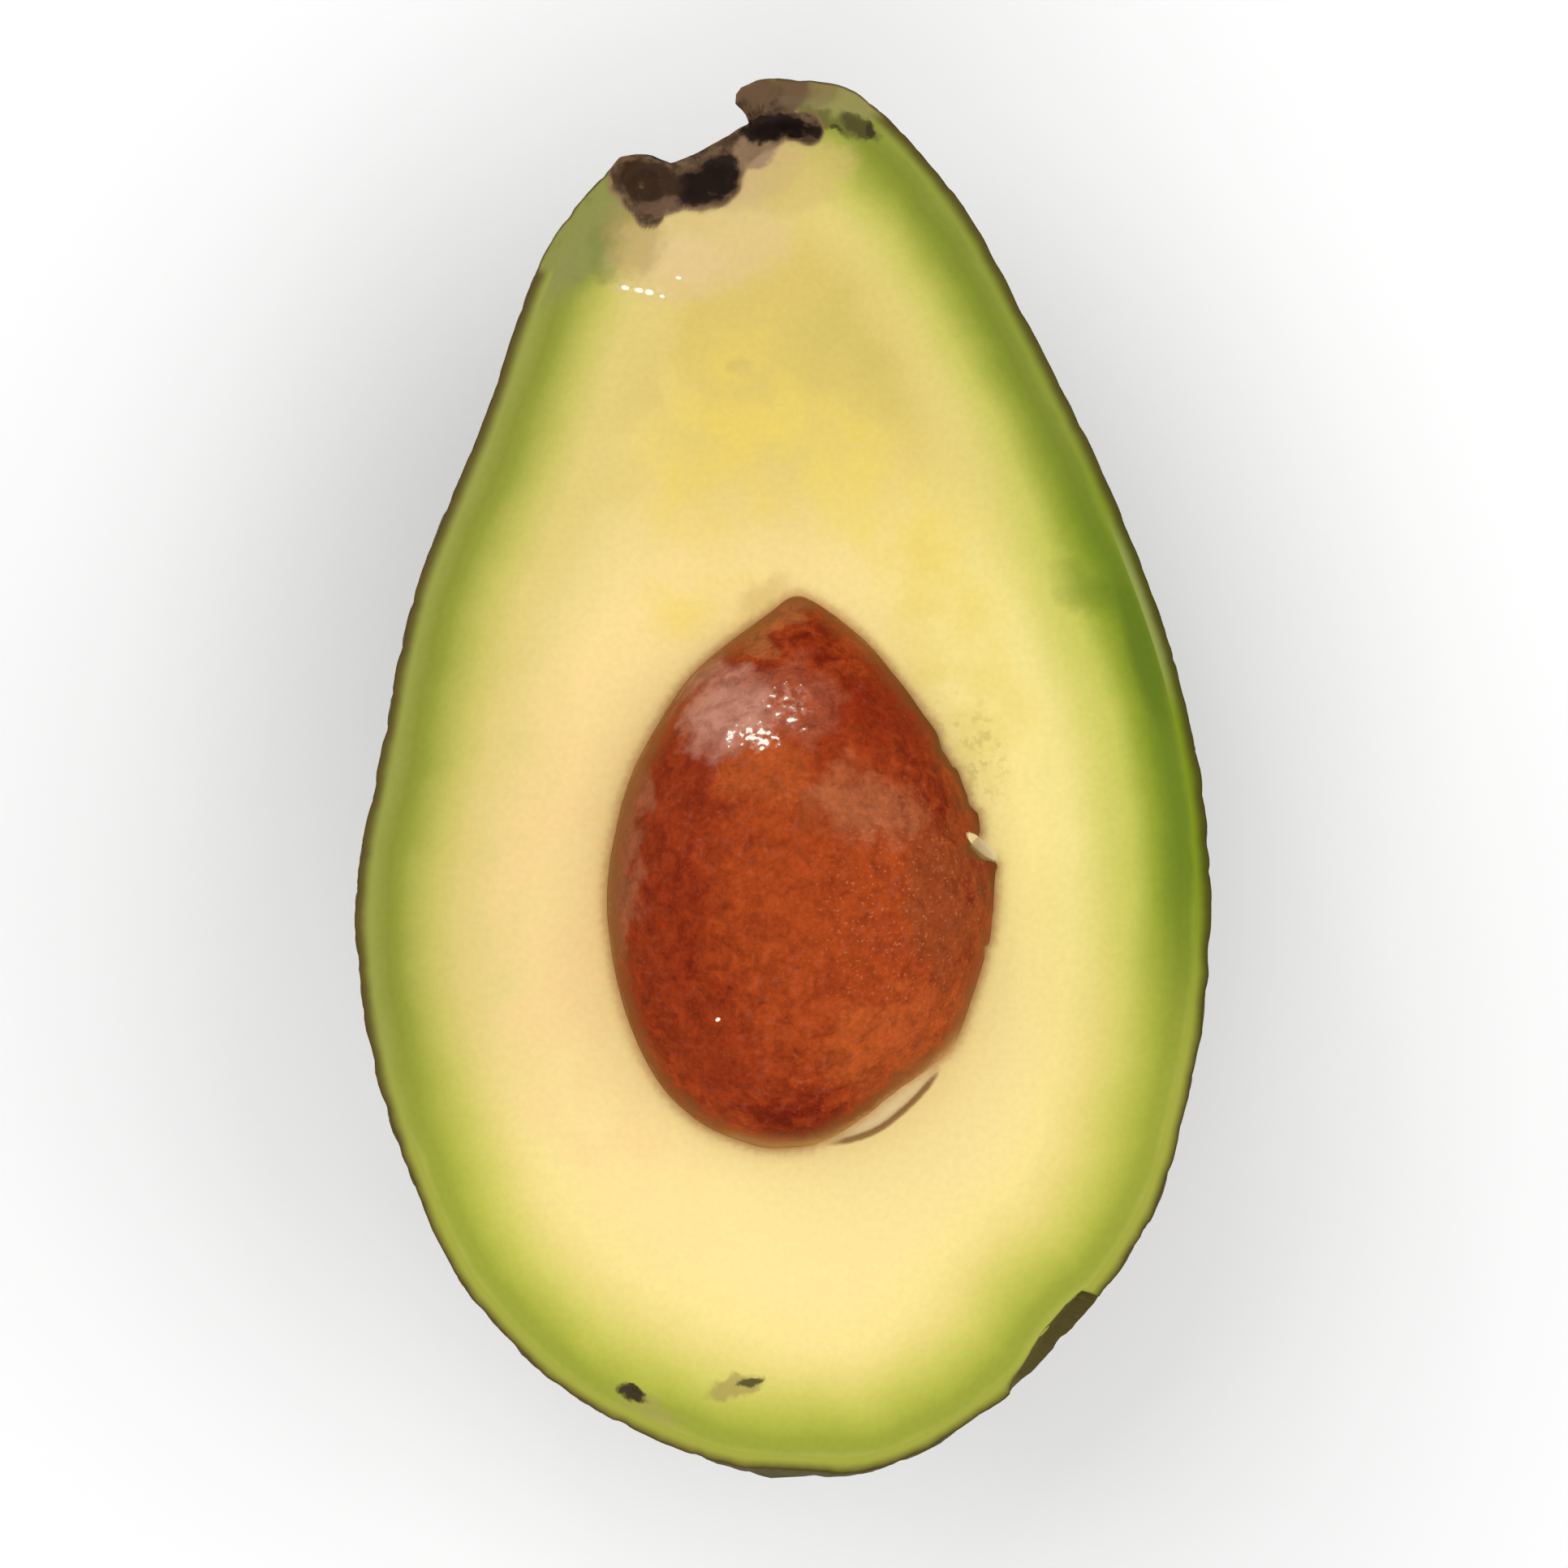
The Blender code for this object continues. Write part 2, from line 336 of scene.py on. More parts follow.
def smooth_loop(points):
    """A closed Catmull-Rom curve through the points, CURVE_STEPS steps to each stretch."""
    count = len(points)
    dense = []
    for i in range(count):
        before, start, end, after = (points[(i + k) % count] for k in (-1, 0, 1, 2))
        for step in range(CURVE_STEPS):
            t = step / CURVE_STEPS
            bend = 2 * before - 5 * start + 4 * end - after
            twist = start * 3 - before - end * 3 + after
            dense.append((2 * start + (end - before) * t + bend * t**2 + twist * t**3) / 2)
    return dense


class Path:
    """A line through points, read by its share of length."""

    def __init__(self, points):
        self.points = points
        self.reach = [0]
        for a, b in zip(points, points[1:]):
            self.reach.append(self.reach[-1] + (b - a).length)

    def at(self, share):
        goal = share * self.reach[-1]
        after = min(bisect_left(self.reach, goal, 1), len(self.reach) - 1)
        part = (goal - self.reach[after - 1]) / (self.reach[after] - self.reach[after - 1])
        return self.points[after - 1].lerp(self.points[after], part)


def flanks(right, left):
    """The two sides of a smooth closed outline through both lists of points."""
    loop = smooth_loop([Vector((x * LENGTH, y * LENGTH)) for x, y in right + left[::-1]])
    turn = (len(right) - 1) * CURVE_STEPS
    return Path(loop[: turn + 1]), Path([loop[0], *loop[: turn - 1 : -1]])


def blown_cube(cuts):
    """A unit ball made of even squares, cuts of them along each edge of a cube."""
    ball = bmesh.new()
    bmesh.ops.create_cube(ball, size=2)
    bmesh.ops.subdivide_edges(ball, edges=ball.edges[:], cuts=cuts - 1, use_grid_fill=True)
    for vert in ball.verts:
        even = Vector([math.tan(c * math.pi / 4) for c in vert.co])
        vert.co = even.normalized()
    return ball


def body(sides, depth, cuts, upright=1):
    """A closed body blown up from a ball. Its widest section, at z = 0, is the outline."""
    right, left = sides
    depth_to_width, growth = depth
    made = blown_cube(cuts)
    for vert in made.verts:
        share = math.acos(max(-1, min(1, vert.co.y))) / math.pi
        a, b = right.at(share), left.at(share)
        middle, half = (a + b) / 2, (a - b) / 2
        around = math.atan2(vert.co.z, vert.co.x)
        across = math.cos(around)
        if vert.co.z > 0:
            across = math.copysign(abs(across) ** upright, across)
        flat = middle + half * across
        deep = half.length * (depth_to_width + growth * middle.y / LENGTH)
        vert.co = (flat.x, flat.y, deep * math.sin(around))
    made.normal_update()
    return made


def push_out(made, distance):
    made.normal_update()
    moves = [(vert, vert.normal * distance) for vert in made.verts]
    for vert, move in moves:
        vert.co += move
    made.normal_update()


def fruit(cuts, inset):
    """The whole fruit's smooth surface, or one inset below it, tilted under the knife."""
    made = body(flanks(RIGHT_FLANK, LEFT_FLANK), FRUIT_DEPTH, cuts, UPRIGHT)
    if inset:
        push_out(made, -inset)
    lift = Matrix.Translation((0, 0, CUT_HEIGHT - KNIFE_ABOVE_AXIS))
    made.transform(lift @ FRUIT_TILT.to_matrix().to_4x4())
    made.normal_update()
    return made


def stone_body(cuts, clearance):
    made = body(flanks(STONE_RIGHT, STONE_LEFT), STONE_DEPTH, cuts)
    if clearance:
        push_out(made, clearance)
    bmesh.ops.translate(made, verts=made.verts[:], vec=(0, 0, CUT_HEIGHT - STONE_SINK))
    made.normal_update()
    return made


def read_table(table, key):
    """The value at a key between the table's own keys, in a straight line from one to the next."""
    after = min(max(bisect_left([row[0] for row in table], key), 1), len(table) - 1)
    (low, a), (high, b) = table[after - 1], table[after]
    return a + (b - a) * min(1, max(0, (key - low) / (high - low)))


SOCKET_ALONG = Vector((-SOCKET_PRESS.y, SOCKET_PRESS.x))
SOCKET_CURVE = smooth_loop([Vector(pair) * MM for pair in (SOCKET_EDGE[0], *SOCKET_EDGE, SOCKET_EDGE[-1])])
SOCKET_EDGE_TABLE = sorted(
    (point.dot(SOCKET_ALONG), point.dot(SOCKET_PRESS))
    for point in SOCKET_CURVE[CURVE_STEPS : len(SOCKET_EDGE) * CURVE_STEPS + 1]
)


def press_socket(point, inset):
    """Moves a point that stands out over the socket's edge, or over one inset from it, back to it."""
    along = point.xy.dot(SOCKET_ALONG)
    if not SOCKET_EDGE_TABLE[0][0] < along < SOCKET_EDGE_TABLE[-1][0]:
        return point
    inset *= 1 + SOCKET_SKIN_GROWTH * smooth_step(*SOCKET_SKIN_DEPTHS, CUT_HEIGHT - point.z)
    short = read_table(SOCKET_EDGE_TABLE, along) + inset - point.xy.dot(SOCKET_PRESS)
    if short > 0:
        point = point + (SOCKET_PRESS * short).to_3d()
    return point


def undercut(point):
    """Moves a point by the lip further in, and more so under it."""
    centre, radii, shift = UNDERCUT
    deep_radii, deep_shift = UNDERCUT_BELOW
    below = smooth_step(*UNDERCUT_DEPTHS, CUT_HEIGHT - point.z)
    reach = shift * bowl(point, centre, radii) + deep_shift * below * bowl(point, centre, deep_radii)
    return point + Vector((reach * MM, 0, 0))


def press_dent(point, inset=0):
    """Pushes a point in where the rim is dented, or further by an inset. Other points stay."""
    along = Vector((math.cos(RIM_DENT_TURN), math.sin(RIM_DENT_TURN)))
    out = Vector((along.y, -along.x))
    half_length, reach, depth = RIM_DENT_SIZE
    offset = point.xy - RIM_DENT_AT
    u = offset.dot(along) / half_length
    w = (CUT_HEIGHT - point.z) / depth
    left = 1 - u * u - w * w
    if left <= 0:
        return point
    limit = -reach * left - inset
    beyond = offset.dot(out) - limit
    if beyond <= 0:
        return point
    flat = point.xy - out * beyond
    return Vector((flat.x, flat.y, point.z))


def finished(name, shape, material, node):
    """Makes the piece's object with its material, and hides the solid of that name that it stands for."""
    mesh = bpy.data.meshes.new(name)
    shape.to_mesh(mesh)
    shape.free()
    mesh.materials.append(material)
    mesh.shade_smooth()
    mesh.set_sharp_from_angle(angle=SHARP_ANGLE)
    made = bpy.data.objects.new(name, mesh)
    bpy.context.scene.collection.objects.link(made)
    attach(made, "root")
    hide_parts(node)
    return made


def open_at_knife(shape, below=0):
    """Takes away all above the cut face, or above a plane below it, and leaves the mouth open."""
    everything = shape.verts[:] + shape.edges[:] + shape.faces[:]
    at, up = (0, 0, CUT_HEIGHT - below), (0, 0, 1)
    bmesh.ops.bisect_plane(
        shape, geom=everything, dist=SAME_POINT, plane_co=at, plane_no=up, clear_outer=True
    )


# The pebbled skin: spacing and depth of the fine grain, of the broad ripple, and where it fades out
# round the resting spot, towards the stem end and at the cut.
PEBBLE_GROOVE_SHARE = 0.35
FINE_PEBBLE = (0.0017, 0.00010)
PEEL_RIPPLE = (0.010, 0.00012)
SMOOTH_NEAR_REST = (0.0050, 0.0110)
CALM_NECK = 0.40
CALM_RIM = 0.45
# The mesh is finer beyond FINE_FROM and over FINE_OVER, and by the lip from x to x and beyond y.
FINE_FROM = 0.0465
FINE_OVER = CUT_HEIGHT - 0.006
FINE_BY_LIP = (-0.0115, 0.0010, 0.0490)
# The cut rim: rings across it, how far its edge is rounded off, and the wall down inside it.
RIM_CUTS = 8
RIM_ROUND = 0.00008
RIM_SKIRT = 0.0004
LINING_DEPTH = 0.0017
SCAR_SOFTNESS = 0.0014
STEM_END = 0.040
# What the peel's mesh tells its material: the share of the way in over the rim, the rim itself, the
# grooves, the socket's wall and the dried tissue.
PEEL_LAYERS = ("inward", "rim", "groove", "scar", "dried")
# The flesh laps under the rim, and the hollow stands off the stone.
RIM_LAP = 0.00014
HOLLOW_CLEARANCE = 0.00002


def skin_height(point, look, rest_at):
    """Height of the pebbled skin over the smooth fruit."""
    near, _ = noise.voronoi(point / look.pebble_pitch)
    groove = 1 - smooth_step(0, PEBBLE_GROOVE_SHARE, near[1] - near[0])
    pitch, depth = FINE_PEBBLE
    fine, _ = noise.voronoi(point / pitch)
    size, swell = PEEL_RIPPLE
    height = look.pebble_proud - look.groove_depth * groove
    height -= depth * (1 - smooth_step(0, 0.5, fine[1] - fine[0]))
    height += swell * (noise.noise(point / size) - 1)
    height *= 1 - CALM_NECK * smooth_step(-0.010, 0.030, point.y)
    height *= 1 - CALM_RIM * smooth_step(CUT_HEIGHT - 0.0060, CUT_HEIGHT, point.z)
    return height * smooth_step(*SMOOTH_NEAR_REST, (point - rest_at).length)


def in_fine_part(x, y, z):
    beside_lip = FINE_BY_LIP[0] < x < FINE_BY_LIP[1] and y > FINE_BY_LIP[2]
    return y > FINE_FROM and (z > FINE_OVER or beside_lip)


def refine(shape):
    """Makes the mesh three times finer round the mouth at the stem end, and all the way down by the lip."""
    near = [edge for edge in shape.edges if all(in_fine_part(*vert.co) for vert in edge.verts)]
    bmesh.ops.subdivide_edges(shape, edges=near, cuts=2, use_grid_fill=True)


def lining_shape(look):
    """The peel's inner wall, from just below its cut rim."""
    lining = fruit(LINING_CUTS, look.thickness)
    open_at_knife(lining, LINING_DEPTH)
    for vert in lining.verts:
        vert.co = press_dent(press_socket(vert.co, SOCKET_SKIN), DENT_SKIN)
    bmesh.ops.reverse_faces(lining, faces=lining.faces[:])
    mesh = bpy.data.meshes.new("lining")
    lining.to_mesh(mesh)
    lining.free()
    return mesh


def peel_shape(look):
    """A closed shell: the pebbled outside, the cut rim, and the smooth inner wall below it."""
    shell = fruit(PEEL_CUTS, 0)
    lowest = min((vert.co for vert in shell.verts), key=lambda co: co.z)
    rest_at = Vector((lowest.x, lowest.y, 0))
    away, inner = (shell.verts.layers.float_vector.new(name) for name in ("away", "inner"))
    inward, rim, groove, scar, dried = (shell.verts.layers.float.new(name) for name in PEEL_LAYERS)
    for vert in shell.verts:
        vert[away] = vert.normal
    open_at_knife(shell)
    refine(shell)
    for vert in shell.verts:
        height = skin_height(vert.co, look, rest_at)
        vert[groove] = smooth_step(look.pebble_proud, look.pebble_proud - look.groove_depth, height)
        if vert.is_boundary:
            vert[rim] = 1
            vert[away] = Vector((vert[away].x, vert[away].y, 0)).normalized()
            width = look.thickness + LIP_WIDTH * bowl(vert.co, *LIP)
            vert[inner] = press_dent(press_socket(vert.co - vert[away] * width, SOCKET_SKIN), DENT_SKIN)
        pressed = press_socket(vert.co, 0)
        vert[scar] = smooth_step(0, SCAR_SOFTNESS, (pressed - vert.co).length)
        vert.co = press_dent(pressed) + vert[away] * height * (1 - vert[scar])
        vert.co.z = min(CUT_HEIGHT, max(0, vert.co.z))

    mouth = [edge for edge in shell.edges if edge.is_boundary]
    outer = {vert for edge in mouth for vert in edge.verts}
    for step in range(1, RIM_CUTS + 1):
        made = bmesh.ops.extrude_edge_only(shell, edges=mouth)["geom"]
        mouth = [g for g in made if isinstance(g, bmesh.types.BMEdge)]
        for vert in (g for g in made if isinstance(g, bmesh.types.BMVert)):
            between = vert.co.lerp(vert[inner], 1 / (RIM_CUTS + 1 - step))
            vert.co = press_socket(between, SOCKET_SKIN * step / RIM_CUTS)
            vert[inward] = step / RIM_CUTS
    for vert in outer:
        vert.co.z -= RIM_ROUND
    made = bmesh.ops.extrude_edge_only(shell, edges=mouth)["geom"]
    mouth = [g for g in made if isinstance(g, bmesh.types.BMEdge)]
    lowered = [g for g in made if isinstance(g, bmesh.types.BMVert)]
    bmesh.ops.translate(shell, verts=lowered, vec=(0, 0, -RIM_SKIRT))

    outside = set(shell.verts)
    shell.from_mesh(lining_shape(look))
    for vert in set(shell.verts) - outside:
        vert[inward] = 1
    bmesh.ops.bridge_loops(shell, edges=[edge for edge in shell.edges if edge.is_boundary])
    for vert in shell.verts:
        if vert.co.y > STEM_END:
            vert[dried] = dried_share(Vector((vert.co.x, vert.co.y, CUT_HEIGHT)))
            vert.co = sink_scar(undercut(vert.co))
    bmesh.ops.recalc_face_normals(shell, faces=shell.faces[:])
    return shell


# Dried brown tissue round the socket: lines on the cut face with their reach, in millimetres.
DRIED_LINES = [
    ((-11.6, 47.8), (-9.2, 47.6), 2.3), ((-10.5, 48.2), (-5.0, 48.6), 2.3),
    ((-6.2, 48.8), (-0.5, 52.2), 1.5), ((-2.2, 53.2), (2.2, 51.8), 1.3),
    ((-3.2, 54.2), (-1.4, 54.6), 1.6), ((-11.8, 46.5), (-10.6, 45.2), 1.2),
    ((-10.6, 46.9), (-5.6, 47.6), 2.0),
]
# It has sunk by DRIED_DROP millimetres, less with depth over SCAR_REACH, and is frayed and crumbly:
# how many ripples to the metre, and their share or millimetres.
DRIED_DROP = 0.55
SCAR_REACH = 0.002
FRAY = (600, 0.24)
CRUMB = (900, 0.30)
# Where the dried tissue is hollow: centre, radii, turn in degrees and depth.
SOCKET_HOLES = [
    ((-5.9, 47.6), (2.9, 1.6), 14, 1.3), ((0.2, 51.8), (3.1, 0.9), 2, 1.3),
    ((-10.9, 47.4), (1.7, 1.3), 0, 0.6), ((-2.4, 53.6), (0.9, 1.2), 10, 0.5),
]


def line_distance(point, start, end):
    """Distance on the cut face from a line between two points, all in millimetres but the point."""
    a, b = Vector(start) * MM, Vector(end) * MM
    share = min(1, max(0, (point.xy - a).dot(b - a) / (b - a).length_squared))
    return (point.xy - a.lerp(b, share)).length / MM


def dried_share(point):
    """1 where the cut face is dried brown by the stalk's socket, 0 in fresh flesh, with a ragged edge."""
    if point.y < STEM_END:
        return 0
    ragged = noise.fractal(point * FRAY[0], 1.0, 2.0, 2) * FRAY[1]
    return max(
        1 - smooth_step(0.60, 1.20, line_distance(point, start, end) / reach + ragged)
        for start, end, reach in DRIED_LINES
    )


def bowl(point, centre, radii, turn=0):
    """1 in the middle of an ellipse on the cut face, 0 at its edge. In millimetres and degrees."""
    x, y = point.x / MM - centre[0], point.y / MM - centre[1]
    c, s = math.cos(math.radians(turn)), math.sin(math.radians(turn))
    along, across = (x * c + y * s) / radii[0], (y * c - x * s) / radii[1]
    return smooth_step(1, 0, along * along + across * across)


def scar_depth(point, dried):
    """How far the dried tissue has sunk and crumbled below the knife's plane, in millimetres."""
    if dried == 0:
        return 0
    holes = sum(depth * bowl(point, centre, radii, turn) for centre, radii, turn, depth in SOCKET_HOLES)
    crumb = CRUMB[1] * noise.fractal(point * CRUMB[0], 1.0, 2.0, 4)
    return dried * max(0, DRIED_DROP + holes - crumb)


def sink_scar(point):
    """Sinks a point in or under the dried tissue, the less the deeper it lies."""
    flat = Vector((point.x, point.y, CUT_HEIGHT))
    drop = scar_depth(flat, dried_share(flat)) * MM
    return point - Vector((0, 0, drop * math.exp((point.z - CUT_HEIGHT) / SCAR_REACH)))


# How the coat's edge departs from the stone's smooth outline, where it is chipped or stands off the
# flesh: degrees clockwise from the stem end, and millimetres outwards.
COAT_EDGE = [
    (44, 0), (49, -0.5), (55.6, -0.33), (57.2, 0.08), (64, -0.05), (68.5, -0.30), (71.7, 0.30), (76.5, 0.05),
    (79, -0.5), (80.5, -1.5), (86, -0.7), (87.3, 0.75), (90, 0.35), (94.4, 0.1), (103, -0.13), (110.6, 0.05),
    (112, -0.35), (115, 0), (134, 0), (141, -0.50), (148, -1.25), (154, -1.85), (160, -2.05), (166, -1.65),
    (172, -0.85), (179, 0),
]
COAT_EDGE_BAND = (0.0004, 0.0016)
# Where the coat stands off the flesh at the lower right: the turns between which that begins and ends,
# how far the flesh has sunk there, the line that the coat left, and half its width, in millimetres.
CRESCENT = (140, 150, 168, 179)
CRESCENT_DROP = 0.16
COAT_LINE = (0.12, 0.55)
FACE_CENTRE = Vector((0.0014, -0.0074))


def turn_of(point):
    """Degrees clockwise from the stem end, round the stone's centre."""
    offset = point.xy - FACE_CENTRE
    return math.degrees(math.atan2(offset.x, offset.y)) % 360


class StoneOutline:
    """The stone's smooth outline on the cut face, read by the turn round its centre."""

    def __init__(self):
        right, left = flanks(STONE_RIGHT, STONE_LEFT)
        points = right.points + left.points
        self.table = sorted((turn_of(point), (point - FACE_CENTRE).length) for point in points)
        (first, a), (last, b) = self.table[0], self.table[-1]
        self.table = [(last - 360, b), *self.table, (first + 360, a)]

    def radius(self, turn):
        return read_table(self.table, turn)


STONE_OUTLINE = StoneOutline()


def crescent_share(turn):
    """1 where the coat stands off the flesh, 0 elsewhere."""
    a, b, c, d = CRESCENT
    return smooth_step(a, b, turn) * (1 - smooth_step(c, d, turn))


def stone_shape(cuts, clearance):
    """The stone with the low lumps and wrinkles of its coat, and the coat's chipped edge."""
    shape = stone_body(cuts, clearance)
    from_edge = shape.verts.layers.float.new("from_edge")
    lumps = [vert.normal * lump_height(vert.co) * MM for vert in shape.verts]
    for vert, lump in zip(shape.verts, lumps):
        vert.co += lump
        turn = turn_of(vert.co)
        offset = vert.co.xy - FACE_CENTRE
        reach = STONE_OUTLINE.radius(turn) + clearance
        departure = read_table(COAT_EDGE, turn) * MM
        above = (vert.co.z - CUT_HEIGHT) / MM
        if departure < 0:
            pressed = min(offset.length, reach + departure)
            wanted = offset.length + (pressed - offset.length) * smooth_step(-5, -1.5, above)
        else:
            near = smooth_step(reach - COAT_EDGE_BAND[1], reach - COAT_EDGE_BAND[0], offset.length)
            wanted = offset.length + departure * near * math.exp(-(above / 0.9) ** 2)
        vert[from_edge] = (reach + departure - wanted) / MM if above > 0 else above
        flat = FACE_CENTRE + offset.normalized() * wanted
        vert.co = (flat.x, flat.y, vert.co.z)
    shape.normal_update()
    return shape


# The coat's relief: how many lumps to the metre, and their height in millimetres.
COAT_SINK = 0.10
COAT_LUMP = (150, 0.12)
COAT_DENT = (420, 0.05)
COAT_GRAIN = (1300, 0.014)


def lump_height(point):
    """Height of the coat over the stone's smooth shape, in millimetres."""
    lump = COAT_LUMP[1] * noise.noise(point * COAT_LUMP[0])
    dent = COAT_DENT[1] * noise.noise(point * COAT_DENT[0] + Vector((5, 1, 7)))
    grain = COAT_GRAIN[1] * noise.fractal(point * COAT_GRAIN[0], 1.0, 2.0, 3)
    return lump + dent + grain - COAT_SINK


class CutFace:
    """The cut face: its rim, the stone's edge on it, and the walls that go down from both."""

    def __init__(self, thickness):
        self.centre = Vector((FACE_CENTRE.x, FACE_CENTRE.y, CUT_HEIGHT))
        self.inside = fruit(GUIDE_CUTS, thickness - RIM_LAP)
        refine(self.inside)
        for vert in self.inside.verts:
            vert.co = undercut(press_dent(press_socket(vert.co, SOCKET_SKIN), DENT_SKIN))
        self.skin = BVHTree.FromBMesh(self.inside)
        self.room = stone_shape(STONE_CUTS, HOLLOW_CLEARANCE)
        self.hollow = BVHTree.FromBMesh(self.room)
        self.rim = self.loop(self.skin, 3000)
        self.edge = self.loop(self.hollow, 2400)
        self.rim_tree = self.tree_of(self.rim)
        self.edge_tree = self.tree_of(self.edge)

    def cast(self, tree, around, down):
        """The point on a surface seen from the centre, at an angle from +Y clockwise and an angle down."""
        flat = Vector((math.sin(around), math.cos(around), 0)) * math.cos(down)
        direction = flat - Vector((0, 0, math.sin(down)))
        return tree.ray_cast(self.centre, direction)[0]

    def loop(self, tree, count):
        return [self.cast(tree, 2 * math.pi * i / count, 0) for i in range(count)]

    def tree_of(self, points):
        tree = KDTree(len(points))
        for i, point in enumerate(points):
            tree.insert(point, i)
        tree.balance()
        return tree


# What the flesh's mesh tells its material: millimetres from the peel and from the stone, the dried
# tissue, and where the stone's coat has stood off and left its line.
FLESH_LAYERS = ("to_rim", "to_stone", "dried", "bare", "coat_line")
# How much closer the flesh's columns stand at the stem end, and its rings at rim and stone.
STEM_DENSITY = 1.2
RING_CROWDING = 0.6


def even_shares(path_points, count):
    """Shares of a closed loop's length for the columns, crowded at the stem end."""
    closed = [*path_points, path_points[0]]
    weight = [0]
    reach = [0]
    for a, b in zip(closed, closed[1:]):
        step = (b - a).length
        crowd = 1 + STEM_DENSITY * smooth_step(0.030, 0.046, (a.y + b.y) / 2)
        weight.append(weight[-1] + step * crowd)
        reach.append(reach[-1] + step)
    shares = []
    for column in range(count):
        goal = weight[-1] * column / count
        i = bisect_left(weight, goal, 1)
        part = (goal - weight[i - 1]) / (weight[i] - weight[i - 1])
        shares.append((reach[i - 1] + part * (reach[i] - reach[i - 1])) / reach[-1])
    return shares


def ridge(point, start, end, width):
    """1 on a line on the cut face, falling to 0 within width either side. In millimetres."""
    return 1 - smooth_step(0, width, line_distance(point, start, end))


def side_of(point, start, end, soft):
    """0 on the right of a line on the cut face, 1 on its left, smooth over soft millimetres."""
    a, b = Vector(start) * MM, Vector(end) * MM
    line = (b - a).normalized()
    left = (point.xy - a).dot(Vector((-line.y, line.x))) / MM
    return smooth_step(-soft / 2, soft / 2, left)


# Marks on the cut face, in millimetres: where the knife changed direction, and two dried pits.
UPPER_CREASE = ((-17.8, 40.0), (-6.7, 38.2))
RIGHT_CREASE = ((18.0, 17.8), (29.5, 14.6))
# How far the flesh has dropped over the upper crease, its raised lip with the lip's roughness, and how
# far the right one is pressed in and raised beside.
UPPER_DROP = 0.28
UPPER_LIP = (0.17, 0.10)
RIGHT_DROP = 0.22
RIGHT_LIP = ((23.0, 17.4), (29.0, 15.9), 0.10)
# Unevenness left by the knife: how many waves to the metre, and their height in millimetres.
CUT_WAVE = (60, 0.09)
CUT_RIPPLE = (240, 0.03)
KNIFE_DRAG = (300, 1500, 0.012)
CUT_FIBRE = (900, 0.02)
# A pit has centre, radii, turn and depth.
PITS = [((-11.8, -49.0), (1.3, 0.55), -22, 0.35), ((-2.6, -48.0), (1.3, 0.35), 14, 0.15)]
# A flake of flesh on the coat's edge: its two ends, and centre, radii and turn of its colour.
FLECK = ((14.5, -4.2), (17.4, -6.7))
FLECK_SPOT = ((15.9, -5.3), (2.2, 0.62), -40)
# Painted highlights on the upper crease, as bright specks: centre and half length.
FLESH_PAINTED_GLINTS = [
    ((-12.45, 39.20), 0.46), ((-11.35, 39.00), 0.50), ((-10.5, 38.82), 0.52), ((-9.5, 38.50), 0.30),
    ((-8.2, 40.0), 0.30),
]


def face_height(point, to_rim, to_stone, dried):
    """Height of the cut face over the knife's plane, in millimetres."""
    wave = sum(high * noise.noise(point * many) for many, high in (CUT_WAVE, CUT_RIPPLE))
    drag = KNIFE_DRAG[2] * noise.noise(Vector((point.x * KNIFE_DRAG[0], point.y * KNIFE_DRAG[1], 0)))
    fibre = CUT_FIBRE[1] * noise.fractal(point * CUT_FIBRE[0], 1.0, 2.0, 3)
    upper = -UPPER_DROP * side_of(point, *UPPER_CREASE, 0.7) * smooth_step(-3, -9, point.x / MM)
    upper *= smooth_step(0.15, 1.8, to_rim)
    upper += (UPPER_LIP[0] + UPPER_LIP[1] * noise.noise(point * 1600)) * ridge(point, *UPPER_CREASE, 0.50)
    right = -RIGHT_DROP * ridge(point, *RIGHT_CREASE, 1.4) * smooth_step(17, 24, point.x / MM)
    right += RIGHT_LIP[2] * ridge(point, *RIGHT_LIP[:2], 0.5)
    edge = 0.03 * math.exp(-((to_stone - 0.8) / 0.5) ** 2) - 0.05 * max(0, 1 - to_stone / 0.35) ** 2
    pits = -sum(depth * bowl(point, centre, radii, turn) for centre, radii, turn, depth in PITS)
    fleck = 0.14 * ridge(point, *FLECK, 0.45)
    fade = smooth_step(0.15, 1.4, to_rim)
    soft = (wave + drag + fibre + right) * fade + upper
    return soft * (1 - dried) + edge + pits + fleck - 0.004 - 0.011 * fade


def ledge(point):
    """Where the coat stands off: 1 inside the stone's smooth outline, and 1 on the line left there."""
    turn = turn_of(point)
    share = crescent_share(turn)
    beyond = ((point.xy - FACE_CENTRE).length - STONE_OUTLINE.radius(turn)) / MM
    line = share * max(0, 1 - abs(beyond) / COAT_LINE[1])
    return share * (1 - smooth_step(-0.30, 0.05, beyond)), line


